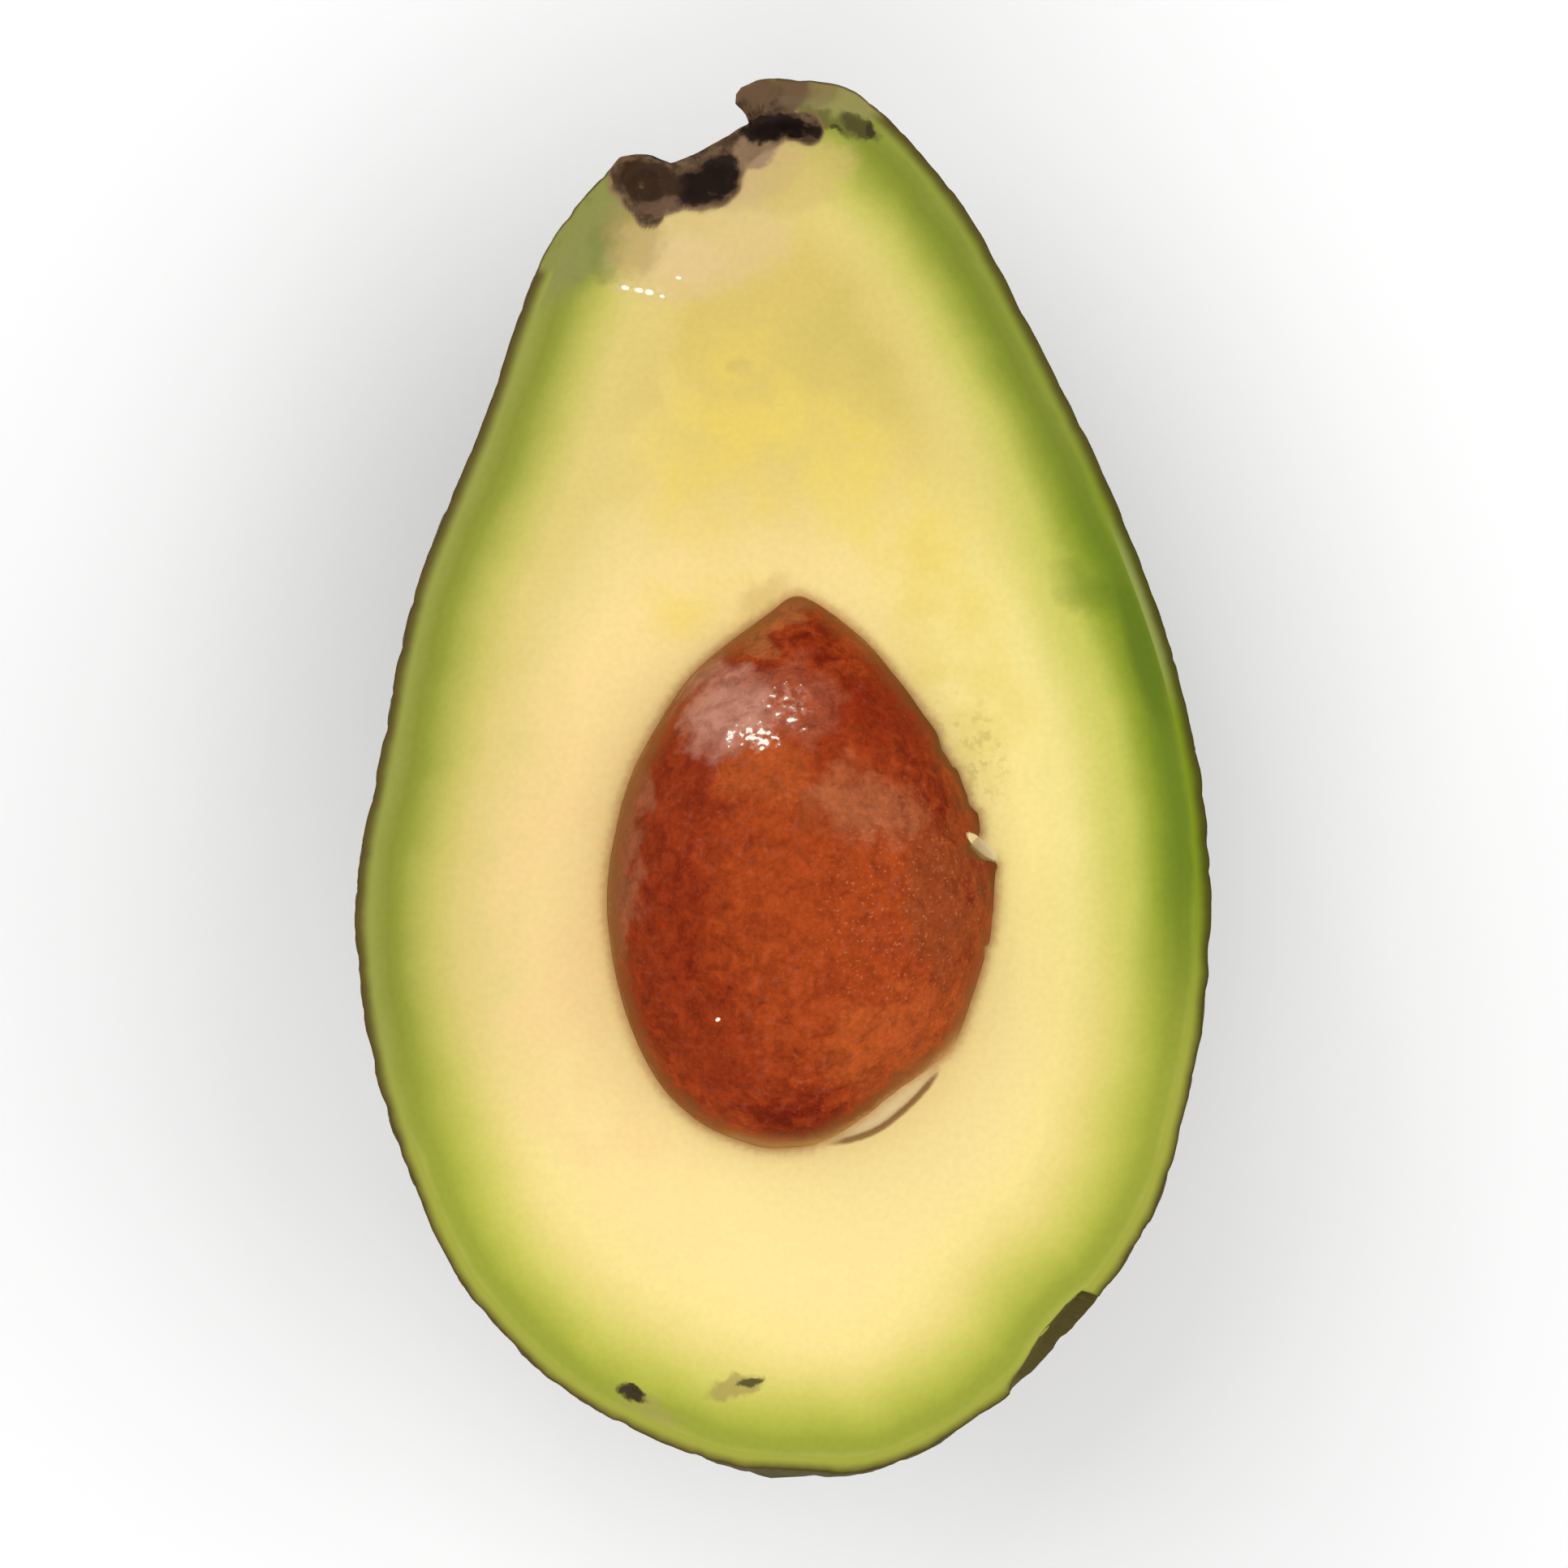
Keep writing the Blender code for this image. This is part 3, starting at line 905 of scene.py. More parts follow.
def flesh_shape(look):
    """One sheet wrapped round the flesh: up out of the hollow, over the cut face and down under the peel."""
    face = CutFace(look.thickness)
    shares = even_shares(face.rim, FLESH_COLUMNS)
    rim_path = Path([*face.rim, face.rim[0]])
    edge_path = Path([*face.edge, face.edge[0]])
    rows = HOLLOW_ROWS + FACE_ROWS + OUTSIDE_ROWS

    sheet = bmesh.new()
    bmesh.ops.create_grid(sheet, x_segments=FLESH_COLUMNS, y_segments=rows, size=1)
    layers = (sheet.verts.layers.float.new(name) for name in FLESH_LAYERS)
    to_rim, to_stone, dried, bare, coat_line = layers
    for vert in sheet.verts:
        column = round((vert.co.x + 1) / 2 * FLESH_COLUMNS) % FLESH_COLUMNS
        row = round((vert.co.y + 1) / 2 * rows)
        outer, inner = rim_path.at(shares[column]), edge_path.at(shares[column])
        if row < HOLLOW_ROWS:
            down = math.pi / 2 * (1 - row / HOLLOW_ROWS) ** 1.3
            around = math.atan2(inner.x - face.centre.x, inner.y - face.centre.y)
            vert.co = face.cast(face.hollow, around, down)
            vert[to_rim] = 15
            vert[to_stone] = -(CUT_HEIGHT - vert.co.z) / MM
        elif row <= HOLLOW_ROWS + FACE_ROWS:
            t = (row - HOLLOW_ROWS) / FACE_ROWS
            t -= RING_CROWDING * math.sin(2 * math.pi * t) / (2 * math.pi)
            flat = inner.lerp(outer, t)
            vert[to_rim] = face.rim_tree.find(flat)[2] / MM
            vert[to_stone] = face.edge_tree.find(flat)[2] / MM
            vert[dried] = dried_share(flat)
            vert[bare], vert[coat_line] = ledge(flat)
            height = face_height(flat, vert[to_rim], vert[to_stone], vert[dried])
            height += COAT_LINE[0] * vert[coat_line] - CRESCENT_DROP * vert[bare]
            vert.co = sink_scar(flat + Vector((0, 0, min(0, height) * MM)))
        else:
            down = math.pi / 2 * (row - HOLLOW_ROWS - FACE_ROWS) / OUTSIDE_ROWS
            around = math.atan2(outer.x - face.centre.x, outer.y - face.centre.y)
            vert.co = sink_scar(face.cast(face.skin, around, down))
            vert[dried] = dried_share(outer)
    face.inside.free()
    face.room.free()
    bmesh.ops.remove_doubles(sheet, verts=sheet.verts[:], dist=SAME_POINT)
    bmesh.ops.recalc_face_normals(sheet, faces=sheet.faces[:])
    return sheet


# The stem end, in millimetres: patches of colour with centre, radii, turn, colour and strength, each
# over the last. The first list lies on fresh flesh and the second on the dried tissue, whose darkest
# patches are painted shade in its sunken holes.
STEM_PATCHES = [
    ((-16.2, 44.5), (4.6, 10.0), -28, (140, 141, 74), 1.0),
    ((-14.0, 42.0), (2.0, 3.0), 0, (128, 132, 62), 0.7),
    ((-6.4, 42.6), (9.5, 5.6), 10, (222, 192, 132), 0.75),
    ((-7.8, 41.4), (4.0, 2.6), 0, (228, 198, 144), 0.5),
    ((-11.8, 43.2), (3.2, 4.2), 6, (168, 142, 86), 0.5),
    ((-1.5, 48.4), (5.5, 3.0), 38, (206, 176, 120), 0.9),
    ((2.2, 48.0), (5.6, 3.2), 30, (206, 180, 108), 0.6),
    ((3.8, 54.5), (6.4, 2.6), -16, (146, 140, 80), 1.0),
    ((2.6, 54.6), (2.8, 1.8), 0, (130, 114, 70), 0.8),
    ((0.4, 54.9), (3.2, 2.4), -6, (108, 85, 60), 1.0),
    ((4.6, 52.3), (4.4, 1.0), -16, (96, 92, 36), 0.85),
    ((6.4, 52.0), (2.4, 0.8), -40, (74, 68, 24), 0.9),
    ((4.5, 51.9), (0.7, 0.5), 0, (48, 40, 14), 0.8),
    ((7.1, 51.5), (0.8, 0.5), -40, (44, 36, 12), 0.8),
    ((-2.2, 50.0), (3.2, 1.6), 35, (160, 132, 98), 1.0),
]
DRIED_AND_SHADED_PATCHES = [
    ((-2.4, 49.9), (2.8, 1.6), 35, (142, 114, 84), 1.0),
    ((-8.6, 45.8), (4.2, 1.2), 8, (106, 82, 60), 0.7),
    # Painted shade: the next five patches lie in the sunken holes, darkening the dried brown.
    ((-6.8, 47.2), (2.4, 1.6), 24, (40, 25, 16), 1.0),
    ((-4.9, 48.1), (2.3, 2.0), 0, (38, 24, 16), 1.0),
    ((-1.2, 51.9), (3.2, 1.5), 8, (34, 21, 14), 1.0),
    ((2.0, 51.8), (3.0, 0.8), -3, (36, 24, 16), 1.0),
    ((-10.5, 47.6), (3.4, 2.0), -8, (60, 40, 24), 1.0),
    ((-0.8, 55.2), (4.4, 1.5), 8, (106, 82, 60), 1.0),
]


def stem_texture(recipe, point, x, y):
    """Frayed coordinates and smudges, the same on the peel's rim as on the flesh beside it."""
    return recipe.warp(point, x, y, 1.6, 1.1), recipe.noise(point, 1.8, detail=6, roughness=0.65)


def stem_colours(recipe, colour, brown, frayed, dried, smudge, grain):
    """Lays the colours of the stem end over a colour, with this brown for its dried tissue."""
    rough = (smudge - 0.5) * 1.1 + (grain - 0.5) * 0.3
    fresh_edge, dried_edge = 1 + rough * 1.8, 1 + rough * 2.2
    colour = recipe.patches(
        colour, frayed, STEM_PATCHES, lambda blob: recipe.step(blob * fresh_edge, 0.0, 0.9)
    )
    fringe = recipe.step(dried * (1 + rough * 1.2), 0.0, 0.45)
    fringe = fringe * (1 - recipe.blob(*frayed, (0.4, 54.6), (4.0, 2.6)))
    colour = recipe.mix(fringe, colour, (152, 122, 84))
    brown = recipe.mix(recipe.step(smudge + (grain - 0.5) * 0.6, 0.35, 0.65), brown, (110, 86, 62))
    # The dried tissue's browns, darkest in its sunken holes as painted shade.
    brown = recipe.patches(
        brown, frayed, DRIED_AND_SHADED_PATCHES, lambda blob: recipe.step(blob * dried_edge, 0.0, 0.70)
    )
    crumbs = recipe.step(grain + (smudge - 0.5) * 0.5, 0.58, 0.72) * recipe.step(dried, 0.98, 0.5)
    brown = recipe.mix(crumbs * 0.6, brown, (168, 138, 102))
    return recipe.mix(recipe.step(dried * (1 + rough * 1.6), 0.15, 0.85), colour, brown)


def sides_of(recipe, x, y, veil):
    """How much of the right side's greener colours, and of the bottom's paler ones, a point takes."""
    right = recipe.step(x, -12.0, 22.0) * (0.55 + recipe.blob(x, y, (34.0, 2.0), (40.0, 30.0)) * 0.60)
    return right, recipe.step(y + veil * 4.0 - x * 0.15, -8.0, -30.0)


def peel_material(look, flesh_look):
    """The skin's mottled browns and greens below the cut, and the line and the pale band on its cut rim."""
    recipe = Recipe("pebbled_peel", {"Specular IOR Level": 0.04, "Coat Roughness": 0.35})
    point, x, y, height = recipe.place()
    inward, rim, groove, scar, dried = (recipe.attribute(name) for name in PEEL_LAYERS)
    patch = recipe.noise(point, 9.0, detail=4)
    veil = recipe.noise(point, 2.4, detail=4)
    fine = recipe.noise(point, 0.8, detail=4)
    pores = recipe.cells(point, 1.6)

    # Painted shade: darker in the grooves between pebbles, with the pebble tops lighter as a painted
    # highlight.
    outside = recipe.mix(recipe.step(groove + fine * 0.4, 0.3, 1.1), look.skin, look.groove)
    outside = recipe.mix(recipe.step(patch, 0.42, 0.62) * 0.6, outside, (62, 64, 26))
    purple = recipe.step(x * 0.6 - y + (patch - 0.5) * 20.0, 30.0, 60.0)
    outside = recipe.mix(purple * 0.8, outside, (80, 62, 42))
    outside = recipe.mix(recipe.step(pores, 0.20, 0.10) * 0.45, outside, (126, 110, 66))
    outside = recipe.mix(recipe.step(height, -9.0, -3.0) * 0.65, outside, (88, 82, 36))
    stalk = recipe.step(y + (patch - 0.5) * 5.0, 49.0, 53.0)
    outside = recipe.mix(stalk * recipe.step(veil, 0.35, 0.60) * 0.75, outside, (100, 78, 52))

    across = inward + (fine - 0.5) * 0.12
    right, bottom = sides_of(recipe, x, y, veil)
    line = recipe.mix(right, look.cut_line, (80, 78, 24))
    outline = recipe.mix(right, (84, 68, 36), (66, 62, 24))
    band = recipe.mix(right, look.cut_band, (124, 142, 30))
    band = recipe.mix(bottom, band, (164, 166, 66))
    band = recipe.mix(recipe.blob(x, y, (29.4, 13.6), (9.5, 3.2), -68) * 0.75, band, (152, 156, 90))
    rim_colour = recipe.mix(recipe.step(across + bottom * 0.22, 0.18, 0.95), line, band)
    on_rim = recipe.step(rim, 0.5, 0.9)
    outermost = recipe.step(across, 0.20, 0.0) * on_rim * recipe.step(dried, 0.5, 0.1)

    colour = recipe.mix(on_rim, outside, rim_colour)
    stem = recipe.step(y, 40.0, 41.0) * recipe.step(height, -5.0, -3.0)
    frayed, smudge = stem_texture(recipe, point, x, y)
    stem_end = stem_colours(recipe, colour, flesh_look.dried, frayed, dried, smudge, fine)
    colour = recipe.mix(stem * recipe.step(rim, 0.4, 0.8), colour, stem_end)
    colour = recipe.mix(outermost * 0.85, colour, outline)
    cork = recipe.mix(recipe.step(veil, 0.35, 0.65), (58, 42, 28), (104, 82, 58))
    corky = recipe.step(scar + (veil - 0.5) * 0.8, 0.2, 0.8)
    corky = corky * recipe.step(height + (veil - 0.5) * 8.0, -17.0, -10.0)
    colour = recipe.mix(corky * (1 - rim), colour, cork)
    colour = recipe.mix(recipe.step(inward, 0.9, 1.0) * (1 - rim), colour, (150, 150, 80))
    bump = recipe.bump(fine + pores * 0.4, 0.25, 0.0002)
    shine = recipe.step(height, -3.0, -9.0) * 0.45
    roughness = 0.55 + recipe.step(fine, 0.3, 0.7) * 0.18
    recipe.feed({"Base Color": colour, "Roughness": roughness, "Coat Weight": shine, "Normal": bump})
    return recipe.material


# How the flesh's colour runs in from the rim: millimetres from the peel, then the colour on the left
# side, on the right side and at the bottom.
FLESH_BANDS = [
    (0.0, (152, 155, 70), (124, 142, 28), (170, 172, 68)),
    (0.6, (146, 150, 58), (106, 126, 18), (154, 162, 52)),
    (1.4, (138, 143, 48), (106, 126, 18), (158, 164, 52)),
    (2.3, (147, 153, 50), (120, 139, 24), (174, 179, 62)),
    (3.4, (172, 172, 72), (150, 162, 44), (191, 191, 76)),
    (5.1, (202, 192, 96), (198, 198, 86), (214, 206, 100)),
    (7.1, (224, 203, 120), (216, 208, 106), (236, 217, 126)),
    (9.7, (231, 209, 131), (241, 225, 138), (250, 230, 146)),
    (13.5, (252, 223, 150), (252, 232, 148), (255, 231, 156)),
]
BAND_REACH = 14.0
# Patches of colour on the flesh, in millimetres: centre, radii, turn, colour and strength.
FLESH_PATCHES = [
    ((-12.5, 26.0), (6.5, 18.0), -8, (236, 213, 138), 0.6),
    ((-18.0, -16.0), (15.0, 36.0), 8, (252, 216, 148), 0.7),
    ((-4.5, 27.0), (12.0, 8.0), 62, (238, 210, 96), 0.7),
    ((9.0, 22.0), (16.0, 7.0), -42, (240, 214, 100), 0.7),
    ((-6.0, 13.5), (7.0, 4.0), 10, (244, 216, 104), 0.6),
    ((14.5, 9.0), (13.0, 6.5), -62, (230, 206, 98), 0.5),
    ((9.0, 36.0), (9.0, 10.0), -30, (206, 188, 96), 0.7),
    ((-13.0, 33.0), (4.0, 9.0), -20, (212, 188, 106), 0.7),
    ((-3.0, 32.5), (1.4, 1.0), 0, (190, 170, 96), 0.5),
    ((1.0, -44.0), (10.0, 5.0), 0, (252, 224, 150), 0.5),
]
# The dried pits near the bottom, listed in the same way.
PIT_COLOURS = [
    ((-10.6, -50.2), (3.4, 1.4), -28, (166, 154, 82), 0.5),
    ((-11.8, -49.0), (1.6, 0.8), -22, (60, 48, 22), 1.0),
    ((-3.7, -48.4), (3.0, 1.2), 17, (164, 144, 78), 0.7),
    ((-2.5, -48.0), (1.4, 0.5), 14, (92, 84, 34), 1.0),
]


def flesh_material(look):
    """Green at the rim and cream inside, with the dried socket, the pits, the traces of the coat with painted
    contact shade round the stone, and painted glints.
    """
    recipe = Recipe("cut_flesh", {"Specular IOR Level": 0.2})
    point, x, y, _ = recipe.place()
    warped = recipe.warp(point, x, y, 5.0, 3.0)
    frayed, smudge = stem_texture(recipe, point, x, y)
    to_rim, to_stone, dried, bare, coat_line = (recipe.attribute(name) for name in FLESH_LAYERS)
    cloud = recipe.noise(point, 14.0, detail=3)
    veil = recipe.noise(point, 4.0, detail=4)
    grain = recipe.noise(point, 0.55, detail=3)

    depth = (to_rim * (0.85 + cloud * 0.3) + (veil - 0.5) * 1.2) / BAND_REACH
    sides = [[(mm / BAND_REACH, shown(*stop[side])) for mm, *stop in FLESH_BANDS] for side in (0, 1, 2)]
    left, right, bottom = (recipe.ramp(depth, stops) for stops in sides)
    greener, low = sides_of(recipe, x, y, veil)
    colour = recipe.mix(low, recipe.mix(greener, left, right), bottom)

    deep = recipe.step(to_rim, 6.0, 12.0)
    neck = recipe.step(y + (cloud - 0.5) * 10.0, 12.0, 33.0)
    colour = recipe.mix(neck * deep * 0.9, colour, look.neck)
    cloudy = recipe.step(veil, 0.2, 0.7) * deep
    colour = recipe.patches(colour, warped, FLESH_PATCHES, lambda blob: blob * cloudy)
    wedge = recipe.blob(x, y, (29.0, 9.8), (8.0, 1.5), -74)
    wedge = wedge + recipe.blob(*warped, (24.8, 15.0), (5.0, 1.4), -22) * 0.4
    colour = recipe.mix(wedge * 0.80, colour, look.bruise)

    flaky = 0.2 + grain * 1.6
    colour = recipe.patches(colour, frayed, PIT_COLOURS, lambda blob: recipe.step(blob * flaky, 0.0, 0.8))
    shower = recipe.step(recipe.noise(point, 0.9, detail=3), 0.50, 0.68)
    shower = shower * recipe.blob(x, y, (15.2, 2.6), (3.4, 6.5), 24)
    colour = recipe.mix(shower * 0.45, colour, (186, 168, 92))

    colour = recipe.mix(recipe.step(bare, 0.1, 0.6), colour, (238, 218, 164))
    # Tan round the stone: partly the coat's trace on the flesh, partly painted contact shade, darkest where
    # flesh meets stone.
    hem = recipe.step(to_stone + (veil - 0.5) * 0.9, 1.4, 0.0)
    colour = recipe.mix(hem * 0.45, colour, (226, 190, 122))
    stone_contact_shade = recipe.step(to_stone + (grain - 0.5) * 0.5, 0.85, 0.0)
    colour = recipe.mix(stone_contact_shade * 0.75, colour, (206, 160, 98))
    colour = recipe.mix(recipe.step(to_stone, 0.0, -0.2), colour, (176, 126, 72))
    line = recipe.step(coat_line + (grain - 0.5) * 0.3, 0.25, 0.8)
    colour = recipe.mix(line * 0.9, colour, (144, 98, 50))
    tip = recipe.blob(*frayed, (-1.4, 14.8), (3.0, 1.5), 32)
    colour = recipe.mix(tip * 0.4, colour, (206, 170, 96))
    fleck = recipe.step(recipe.blob(x, y, *FLECK_SPOT) + (grain - 0.5) * 0.5, 0.25, 0.6)
    colour = recipe.mix(fleck, colour, (244, 222, 166))
    colour = stem_colours(recipe, colour, look.dried, frayed, dried, smudge, grain)
    colour = recipe.scale(colour, 0.96 + recipe.step(grain, 0.25, 0.75) * 0.05)

    # Painted highlights: small near-white specks along the upper crease.
    for centre, size in FLESH_PAINTED_GLINTS:
        speck = recipe.step(recipe.blob(x, y, centre, (size, size * 0.6), -14) * flaky, 0.15, 0.8)
        colour = recipe.mix(speck, colour, (255, 252, 232))
    wet = recipe.blob(x, y, (-10.9, 38.9), (3.4, 1.1), -12)
    roughness = 0.42 + grain * 0.16 + dried * 0.4 - wet * 0.24
    glaze = wet * recipe.step(recipe.noise(point, 0.8, detail=2), 0.42, 0.58)
    bump = recipe.bump(grain, 0.10, 0.0002)
    recipe.feed({"Base Color": colour, "Roughness": roughness, "Coat Weight": glaze, "Normal": bump})
    return recipe.material


# Painted highlights on the stone, as bright specks, in millimetres.
STONE_PAINTED_GLINTS = [(-4.9, -18.6), (-1.5, 2.4), (-1.0, 3.6), (-2.6, 3.2)]
# Patches of colour on the stone, in millimetres: centre, radii, turn, colour and strength.
STONE_PATCHES = [
    ((-8.5, -6.0), (6.5, 19.0), -6, (140, 44, 14), 0.65),
    ((8.0, 5.5), (4.6, 11.0), -50, (134, 36, 8), 0.9),
    ((3.0, -9.0), (12.0, 17.0), -8, (168, 68, 24), 0.85),
    ((-1.5, 0.5), (5.0, 3.6), 0, (178, 80, 32), 0.9),
    ((2.5, -2.2), (2.6, 2.6), 0, (152, 66, 28), 0.7),
    ((6.5, -2.0), (6.5, 3.6), -20, (172, 96, 58), 0.75),
    ((12.6, -10.0), (4.0, 9.0), 0, (152, 68, 28), 0.9),
    ((8.5, -20.0), (8.0, 4.5), 30, (182, 84, 34), 0.7),
    ((-5.0, -22.0), (7.0, 5.0), -20, (160, 58, 20), 0.6),
    ((-12.6, -5.0), (2.6, 13.0), -4, (156, 92, 62), 0.7),
    ((-6.1, -18.8), (4.0, 4.5), 0, (142, 48, 16), 0.5),
    ((-1.2, 13.2), (5.0, 2.8), 38, (168, 104, 56), 0.6),
    ((1.0, 6.2), (4.6, 4.4), 0, (168, 92, 66), 0.5),
]


def stone_material(look):
    """The seed coat: red-brown and mottled, with a pale film that also carries a painted highlight, painted
    glints, and a dry edge lightened in part as painted light.
    """
    recipe = Recipe("stone_coat", {"Specular IOR Level": 0.05, "Coat Roughness": 0.10})
    point, x, y, height = recipe.place()
    warped = recipe.warp(point, x, y, 2.6, 3.0)
    from_edge = recipe.attribute("from_edge")
    patch = recipe.noise(point, 6.0, detail=3)
    mottle = recipe.noise(point, 1.5, detail=7, roughness=0.68, distortion=0.6)
    speck = recipe.noise(point, 0.42, detail=3, roughness=0.6)
    pale = recipe.noise(point, 0.30, detail=2)

    shade = recipe.mix(recipe.step(mottle * 0.6 + patch * 0.5, 0.36, 0.74), look.dark, look.coat)
    blotchy = 0.4 + mottle * 1.2
    shade = recipe.patches(shade, warped, STONE_PATCHES, lambda blob: recipe.step(blob * blotchy, 0.0, 1.0))
    light = 0.62 + recipe.step(mottle, 0.25, 0.75) * 0.40 + recipe.step(speck, 0.2, 0.8) * 0.34
    shade = recipe.scale(shade, light)
    pinkish = recipe.step(pale, 0.60, 0.72) * (0.15 + recipe.blob(*warped, (10.0, -11.0), (9.0, 12.0)) * 0.6)
    shade = recipe.mix(pinkish, shade, (200, 116, 74))
    side = recipe.step(x, 6.0, 12.0) * recipe.step(y, -20.0, -12.0)
    hem = recipe.step(from_edge + (mottle - 0.5) * 2.6, 2.1, 0.0)
    shade = recipe.mix(hem * (0.85 - side * 0.55), shade, look.edge)
    # Paler tan near the flesh: partly the coat's dry edge, partly painted light lifting the steep flank's
    # shade.
    edge = recipe.step(from_edge + (speck - 0.5) * 0.9 + (mottle - 0.5) * 1.0, 0.60, -0.1)
    shade = recipe.mix(edge * (1 - side * 0.8) * 0.8, shade, (176, 124, 70))
    flake = recipe.step(from_edge, 0.75, 0.35) * side * recipe.step(y, -12.0, -6.0)
    shade = recipe.mix(flake * 0.7, shade, (112, 68, 24))
    low = recipe.step(height, 6.0, 1.0)
    crescent = recipe.blob(x, y, (8.2, -24.6), (9.0, 3.6), 35) * low
    crescent = crescent * recipe.step(from_edge + (mottle - 0.5) * 1.8, 1.5, 0.0)
    shade = recipe.mix(crescent * 0.9, shade, (210, 164, 106))
    foot = recipe.blob(x, y, (0.6, -28.6), (9.0, 2.6), 8) * low
    foot = foot * recipe.step(from_edge + (mottle - 0.5) * 2.0, 2.2, 0.2)
    shade = recipe.mix(foot * 0.9, shade, (178, 130, 74))
    fleck = recipe.step(recipe.blob(x, y, *FLECK_SPOT) + (speck - 0.5) * 0.5, 0.25, 0.6)
    shade = recipe.mix(fleck, shade, (248, 226, 170))
    # The pale film: partly the coat's wet film, partly a painted highlight at the upper left.
    film_and_sheen = recipe.blob(*warped, (-4.2, 5.4), (4.8, 4.6), 30)
    film_and_sheen = film_and_sheen * (0.60 + recipe.step(mottle, 0.36, 0.62) * 0.40)
    shade = recipe.mix(film_and_sheen * 0.85, shade, (206, 146, 122))

    # Painted highlight: a pale sheen and near-white glints over the glossy spot.
    sparkle_noise = recipe.noise(point, 0.62, detail=2, roughness=0.4)
    gloss = recipe.blob(*warped, (-1.9, 3.4), (2.9, 2.2), -20)
    gloss = gloss + recipe.blob(*warped, (0.6, 6.0), (2.4, 2.4)) * 0.55
    painted_sheen = recipe.step(gloss, 0.1, 0.9) * recipe.step(sparkle_noise, 0.42, 0.62)
    shade = recipe.mix(painted_sheen * 0.6, shade, (226, 176, 150))
    painted_glints = recipe.step(sparkle_noise + gloss * 0.20, 0.70, 0.78) * recipe.step(gloss, 0.05, 0.3)
    for spot in STONE_PAINTED_GLINTS:
        glint = recipe.blob(x, y, spot, (0.28, 0.20), 30) * (0.3 + speck * 1.4)
        painted_glints = painted_glints + recipe.step(glint, 0.2, 0.8)
    shade = recipe.mix(recipe.step(painted_glints, 0.0, 0.8), shade, (255, 250, 236))
    dots = recipe.step(recipe.noise(point, 0.75, detail=1), 0.56, 0.66)
    wet = recipe.step(from_edge, 1.0, 4.0) * (film_and_sheen * 0.3 + dots * (gloss * 0.8 + 0.15))
    bump = recipe.bump(mottle + speck * 0.8, 0.45, 0.0003)
    roughness = 0.46 + mottle * 0.25 - recipe.step(gloss, 0.0, 1.0) * 0.28
    recipe.feed({"Base Color": shade, "Roughness": roughness, "Coat Weight": wet, "Normal": bump})
    return recipe.material


class AVOCADO_OT_peel(bpy.types.Operator):
    """Makes the pebbled peel as a closed shell with its cut rim"""

    bl_idname = "avocado.peel"
    bl_label = "Peel"

    def execute(self, context):
        look = context.scene.avocado_peel
        material = peel_material(look, context.scene.avocado_flesh)
        finished("pebbled_peel", peel_shape(look), material, "peel")
        return {"FINISHED"}


class AVOCADO_OT_flesh(bpy.types.Operator):
    """Makes the cut flesh with the stone's hollow and the dried socket"""

    bl_idname = "avocado.flesh"
    bl_label = "Flesh"

    def execute(self, context):
        shape = flesh_shape(context.scene.avocado_peel)
        finished("cut_flesh", shape, flesh_material(context.scene.avocado_flesh), "flesh")
        return {"FINISHED"}


class AVOCADO_OT_stone(bpy.types.Operator):
    """Makes the stone in its mottled coat"""

    bl_idname = "avocado.stone"
    bl_label = "Stone"

    def execute(self, context):
        shape = stone_shape(STONE_CUTS, 0)
        finished("coated_stone", shape, stone_material(context.scene.avocado_stone), "stone")
        return {"FINISHED"}


FLOOR_SIZE = 6.0
# Each light's name, direction, distance, size and power in watts, and the strength of the white sky.
LIGHTS = [
    ("key", (-0.60, 0.65, 0.80), 1.8, 2.0, 17.6),
    ("fill_right", (0.85, 0.10, 0.75), 1.8, 2.0, 14.8),
    ("fill_low", (-0.05, -0.85, 0.75), 1.8, 2.0, 14.4),
    ("glint", (-0.356, 0.73, 0.584), 0.45, 0.03, 0.04),
]
SKY = 0.36
VIEW_CENTRE = (0.00022, -0.00036)
VIEW_HALF_WIDTH = 0.06246
SENSOR = 36


def make_floor(look):
    shape = bmesh.new()
    bmesh.ops.create_grid(shape, x_segments=8, y_segments=8, size=FLOOR_SIZE / 2)
    mesh = bpy.data.meshes.new("floor")
    shape.to_mesh(mesh)
    shape.free()
    recipe = Recipe("floor", {"Base Color": (*look.floor, 1), "Roughness": 0.9, "Specular IOR Level": 0.2})
    mesh.materials.append(recipe.material)
    floor = bpy.data.objects.new("floor", mesh)
    bpy.context.scene.collection.objects.link(floor)


def make_light(name, direction, distance, size, power):
    """A square light that looks at the cut face from that direction."""
    data = bpy.data.lights.new(name, "AREA")
    data.size = size
    data.energy = power
    light = bpy.data.objects.new(name, data)
    towards = Vector(direction).normalized()
    light.location = Vector((0, 0, CUT_HEIGHT)) + towards * distance
    light.rotation_mode = "QUATERNION"
    light.rotation_quaternion = towards.to_track_quat("Z", "Y")
    bpy.context.scene.collection.objects.link(light)


def make_world():
    world = bpy.data.worlds.new("studio")
    world.use_nodes = True
    background = world.node_tree.nodes["Background"]
    background.inputs["Color"].default_value = (1, 1, 1, 1)
    background.inputs["Strength"].default_value = SKY
    bpy.context.scene.world = world


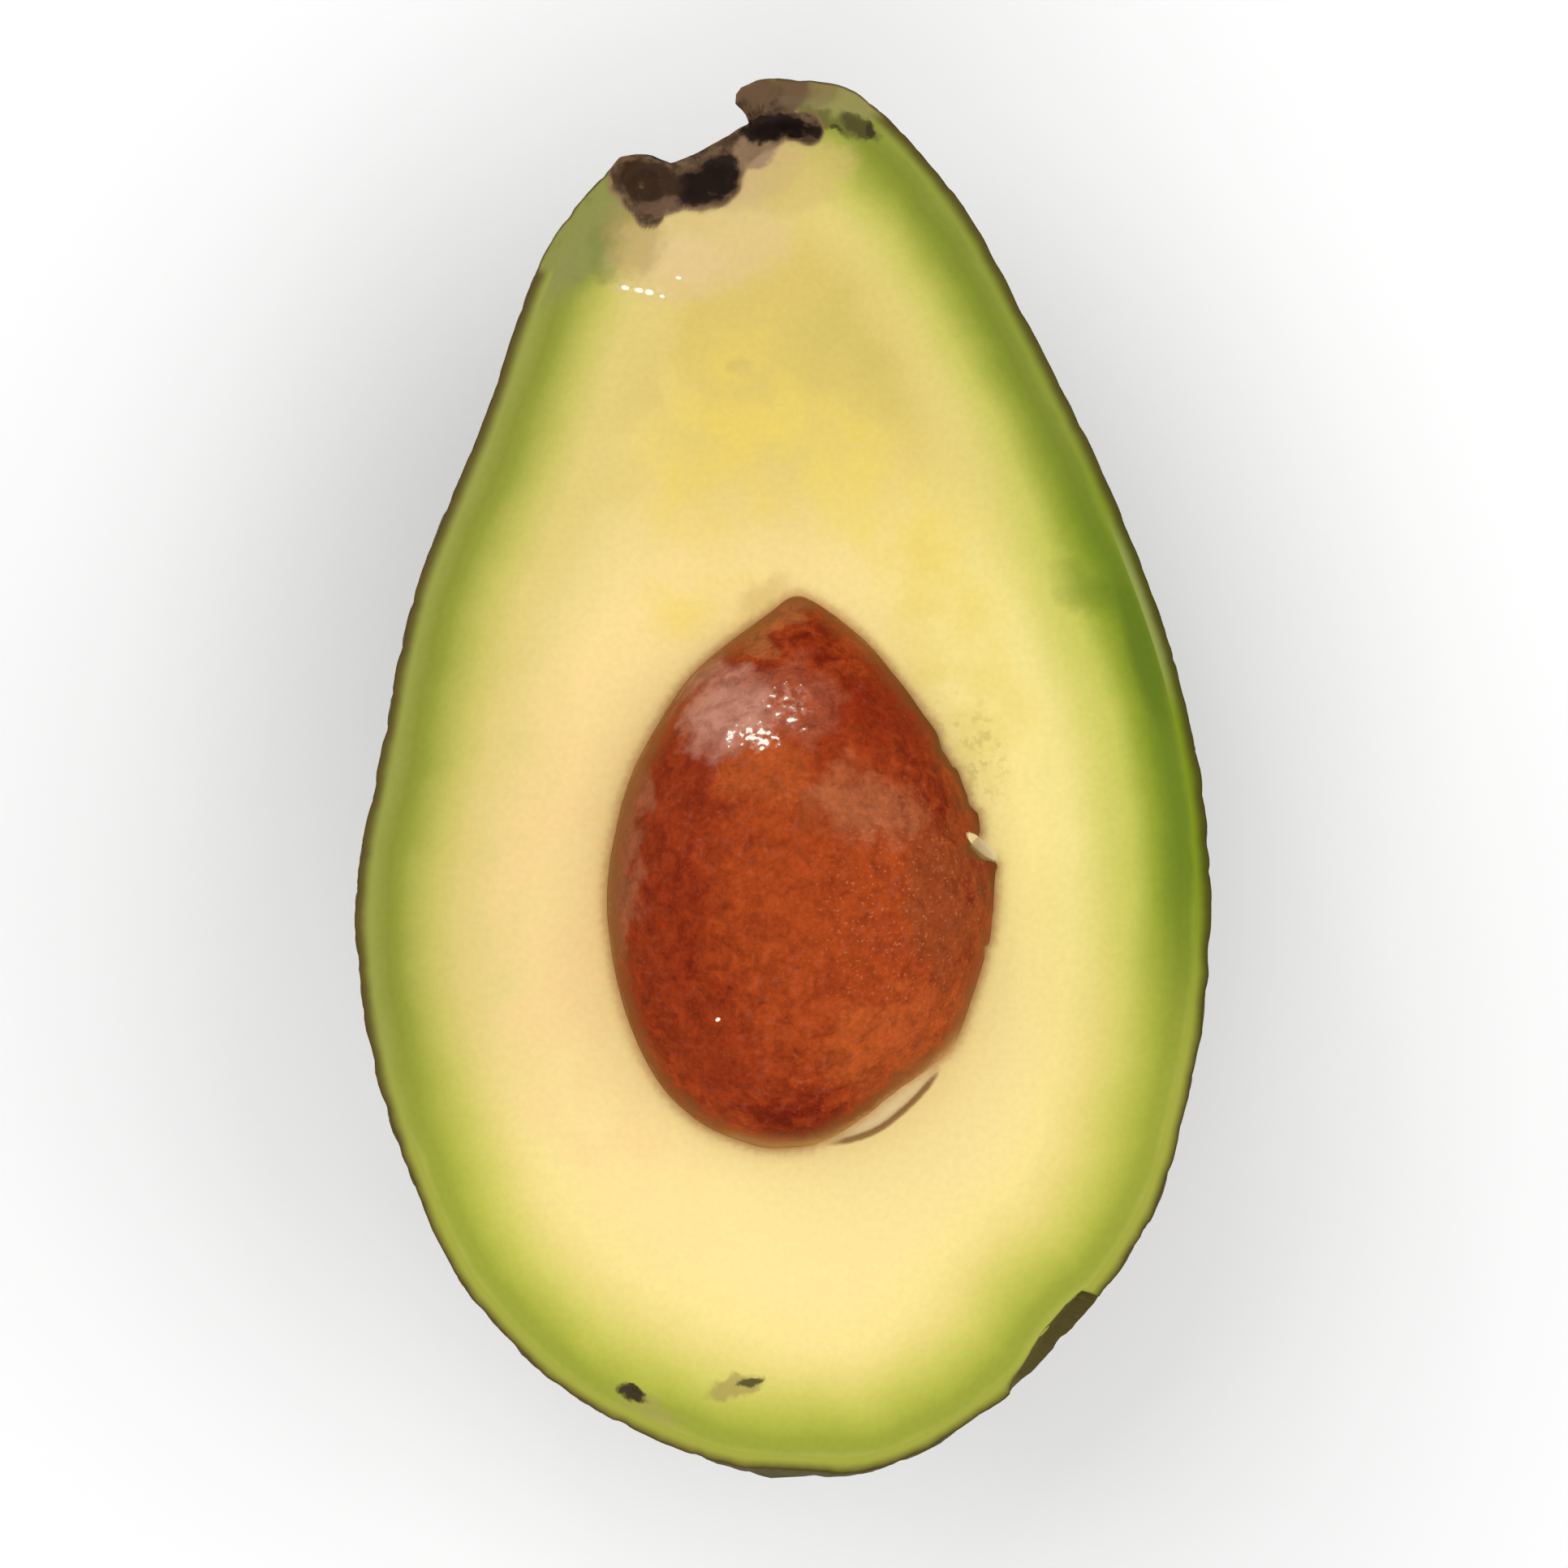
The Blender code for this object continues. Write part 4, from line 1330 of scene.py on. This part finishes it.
def make_camera(look):
    data = bpy.data.cameras.new("camera")
    data.sensor_width = SENSOR
    data.lens = SENSOR / 2 * look.camera_height / VIEW_HALF_WIDTH
    camera = bpy.data.objects.new("camera", data)
    camera.location = (*VIEW_CENTRE, CUT_HEIGHT + look.camera_height)
    bpy.context.scene.collection.objects.link(camera)
    bpy.context.scene.camera = camera


class AVOCADO_OT_stage(bpy.types.Operator):
    """Makes the plain pale floor, the soft lights and the camera that looks down on the cut face"""

    bl_idname = "avocado.stage"
    bl_label = "Stage"

    def execute(self, context):
        look = context.scene.avocado_stage
        make_floor(look)
        make_world()
        for light in LIGHTS:
            make_light(*light)
        make_camera(look)
        context.scene.view_settings.view_transform = "Standard"
        return {"FINISHED"}


class AVOCADO_PT_panel(bpy.types.Panel):
    """Lists the pieces and their settings"""

    bl_idname = "AVOCADO_PT_panel"
    bl_label = "Avocado half"
    bl_space_type = "VIEW_3D"
    bl_region_type = "UI"
    bl_category = "Avocado"

    def draw(self, context):
        for operator, settings in zip(OPERATORS, SETTINGS):
            box = self.layout.box()
            box.operator(operator.bl_idname)
            look = getattr(context.scene, settings)
            for name in look.bl_rna.properties.keys():
                if name not in ("rna_type", "name"):
                    box.prop(look, name)


OPERATORS = (AVOCADO_OT_peel, AVOCADO_OT_flesh, AVOCADO_OT_stone, AVOCADO_OT_stage)
SETTINGS = {
    "avocado_peel": PeelSettings,
    "avocado_flesh": FleshSettings,
    "avocado_stone": StoneSettings,
    "avocado_stage": StageSettings,
}


def register():
    for made in (*SETTINGS.values(), *OPERATORS, AVOCADO_PT_panel):
        bpy.utils.register_class(made)
    for name, group in SETTINGS.items():
        setattr(bpy.types.Scene, name, PointerProperty(type=group))


def unregister():
    for name in SETTINGS:
        delattr(bpy.types.Scene, name)
    for made in (AVOCADO_PT_panel, *reversed(OPERATORS), *reversed(SETTINGS.values())):
        bpy.utils.unregister_class(made)


def main():
    register()
    bpy.ops.avocado.peel()
    bpy.ops.avocado.flesh()
    bpy.ops.avocado.stone()
    bpy.ops.avocado.stage()


if __name__ == "__main__":
    main()
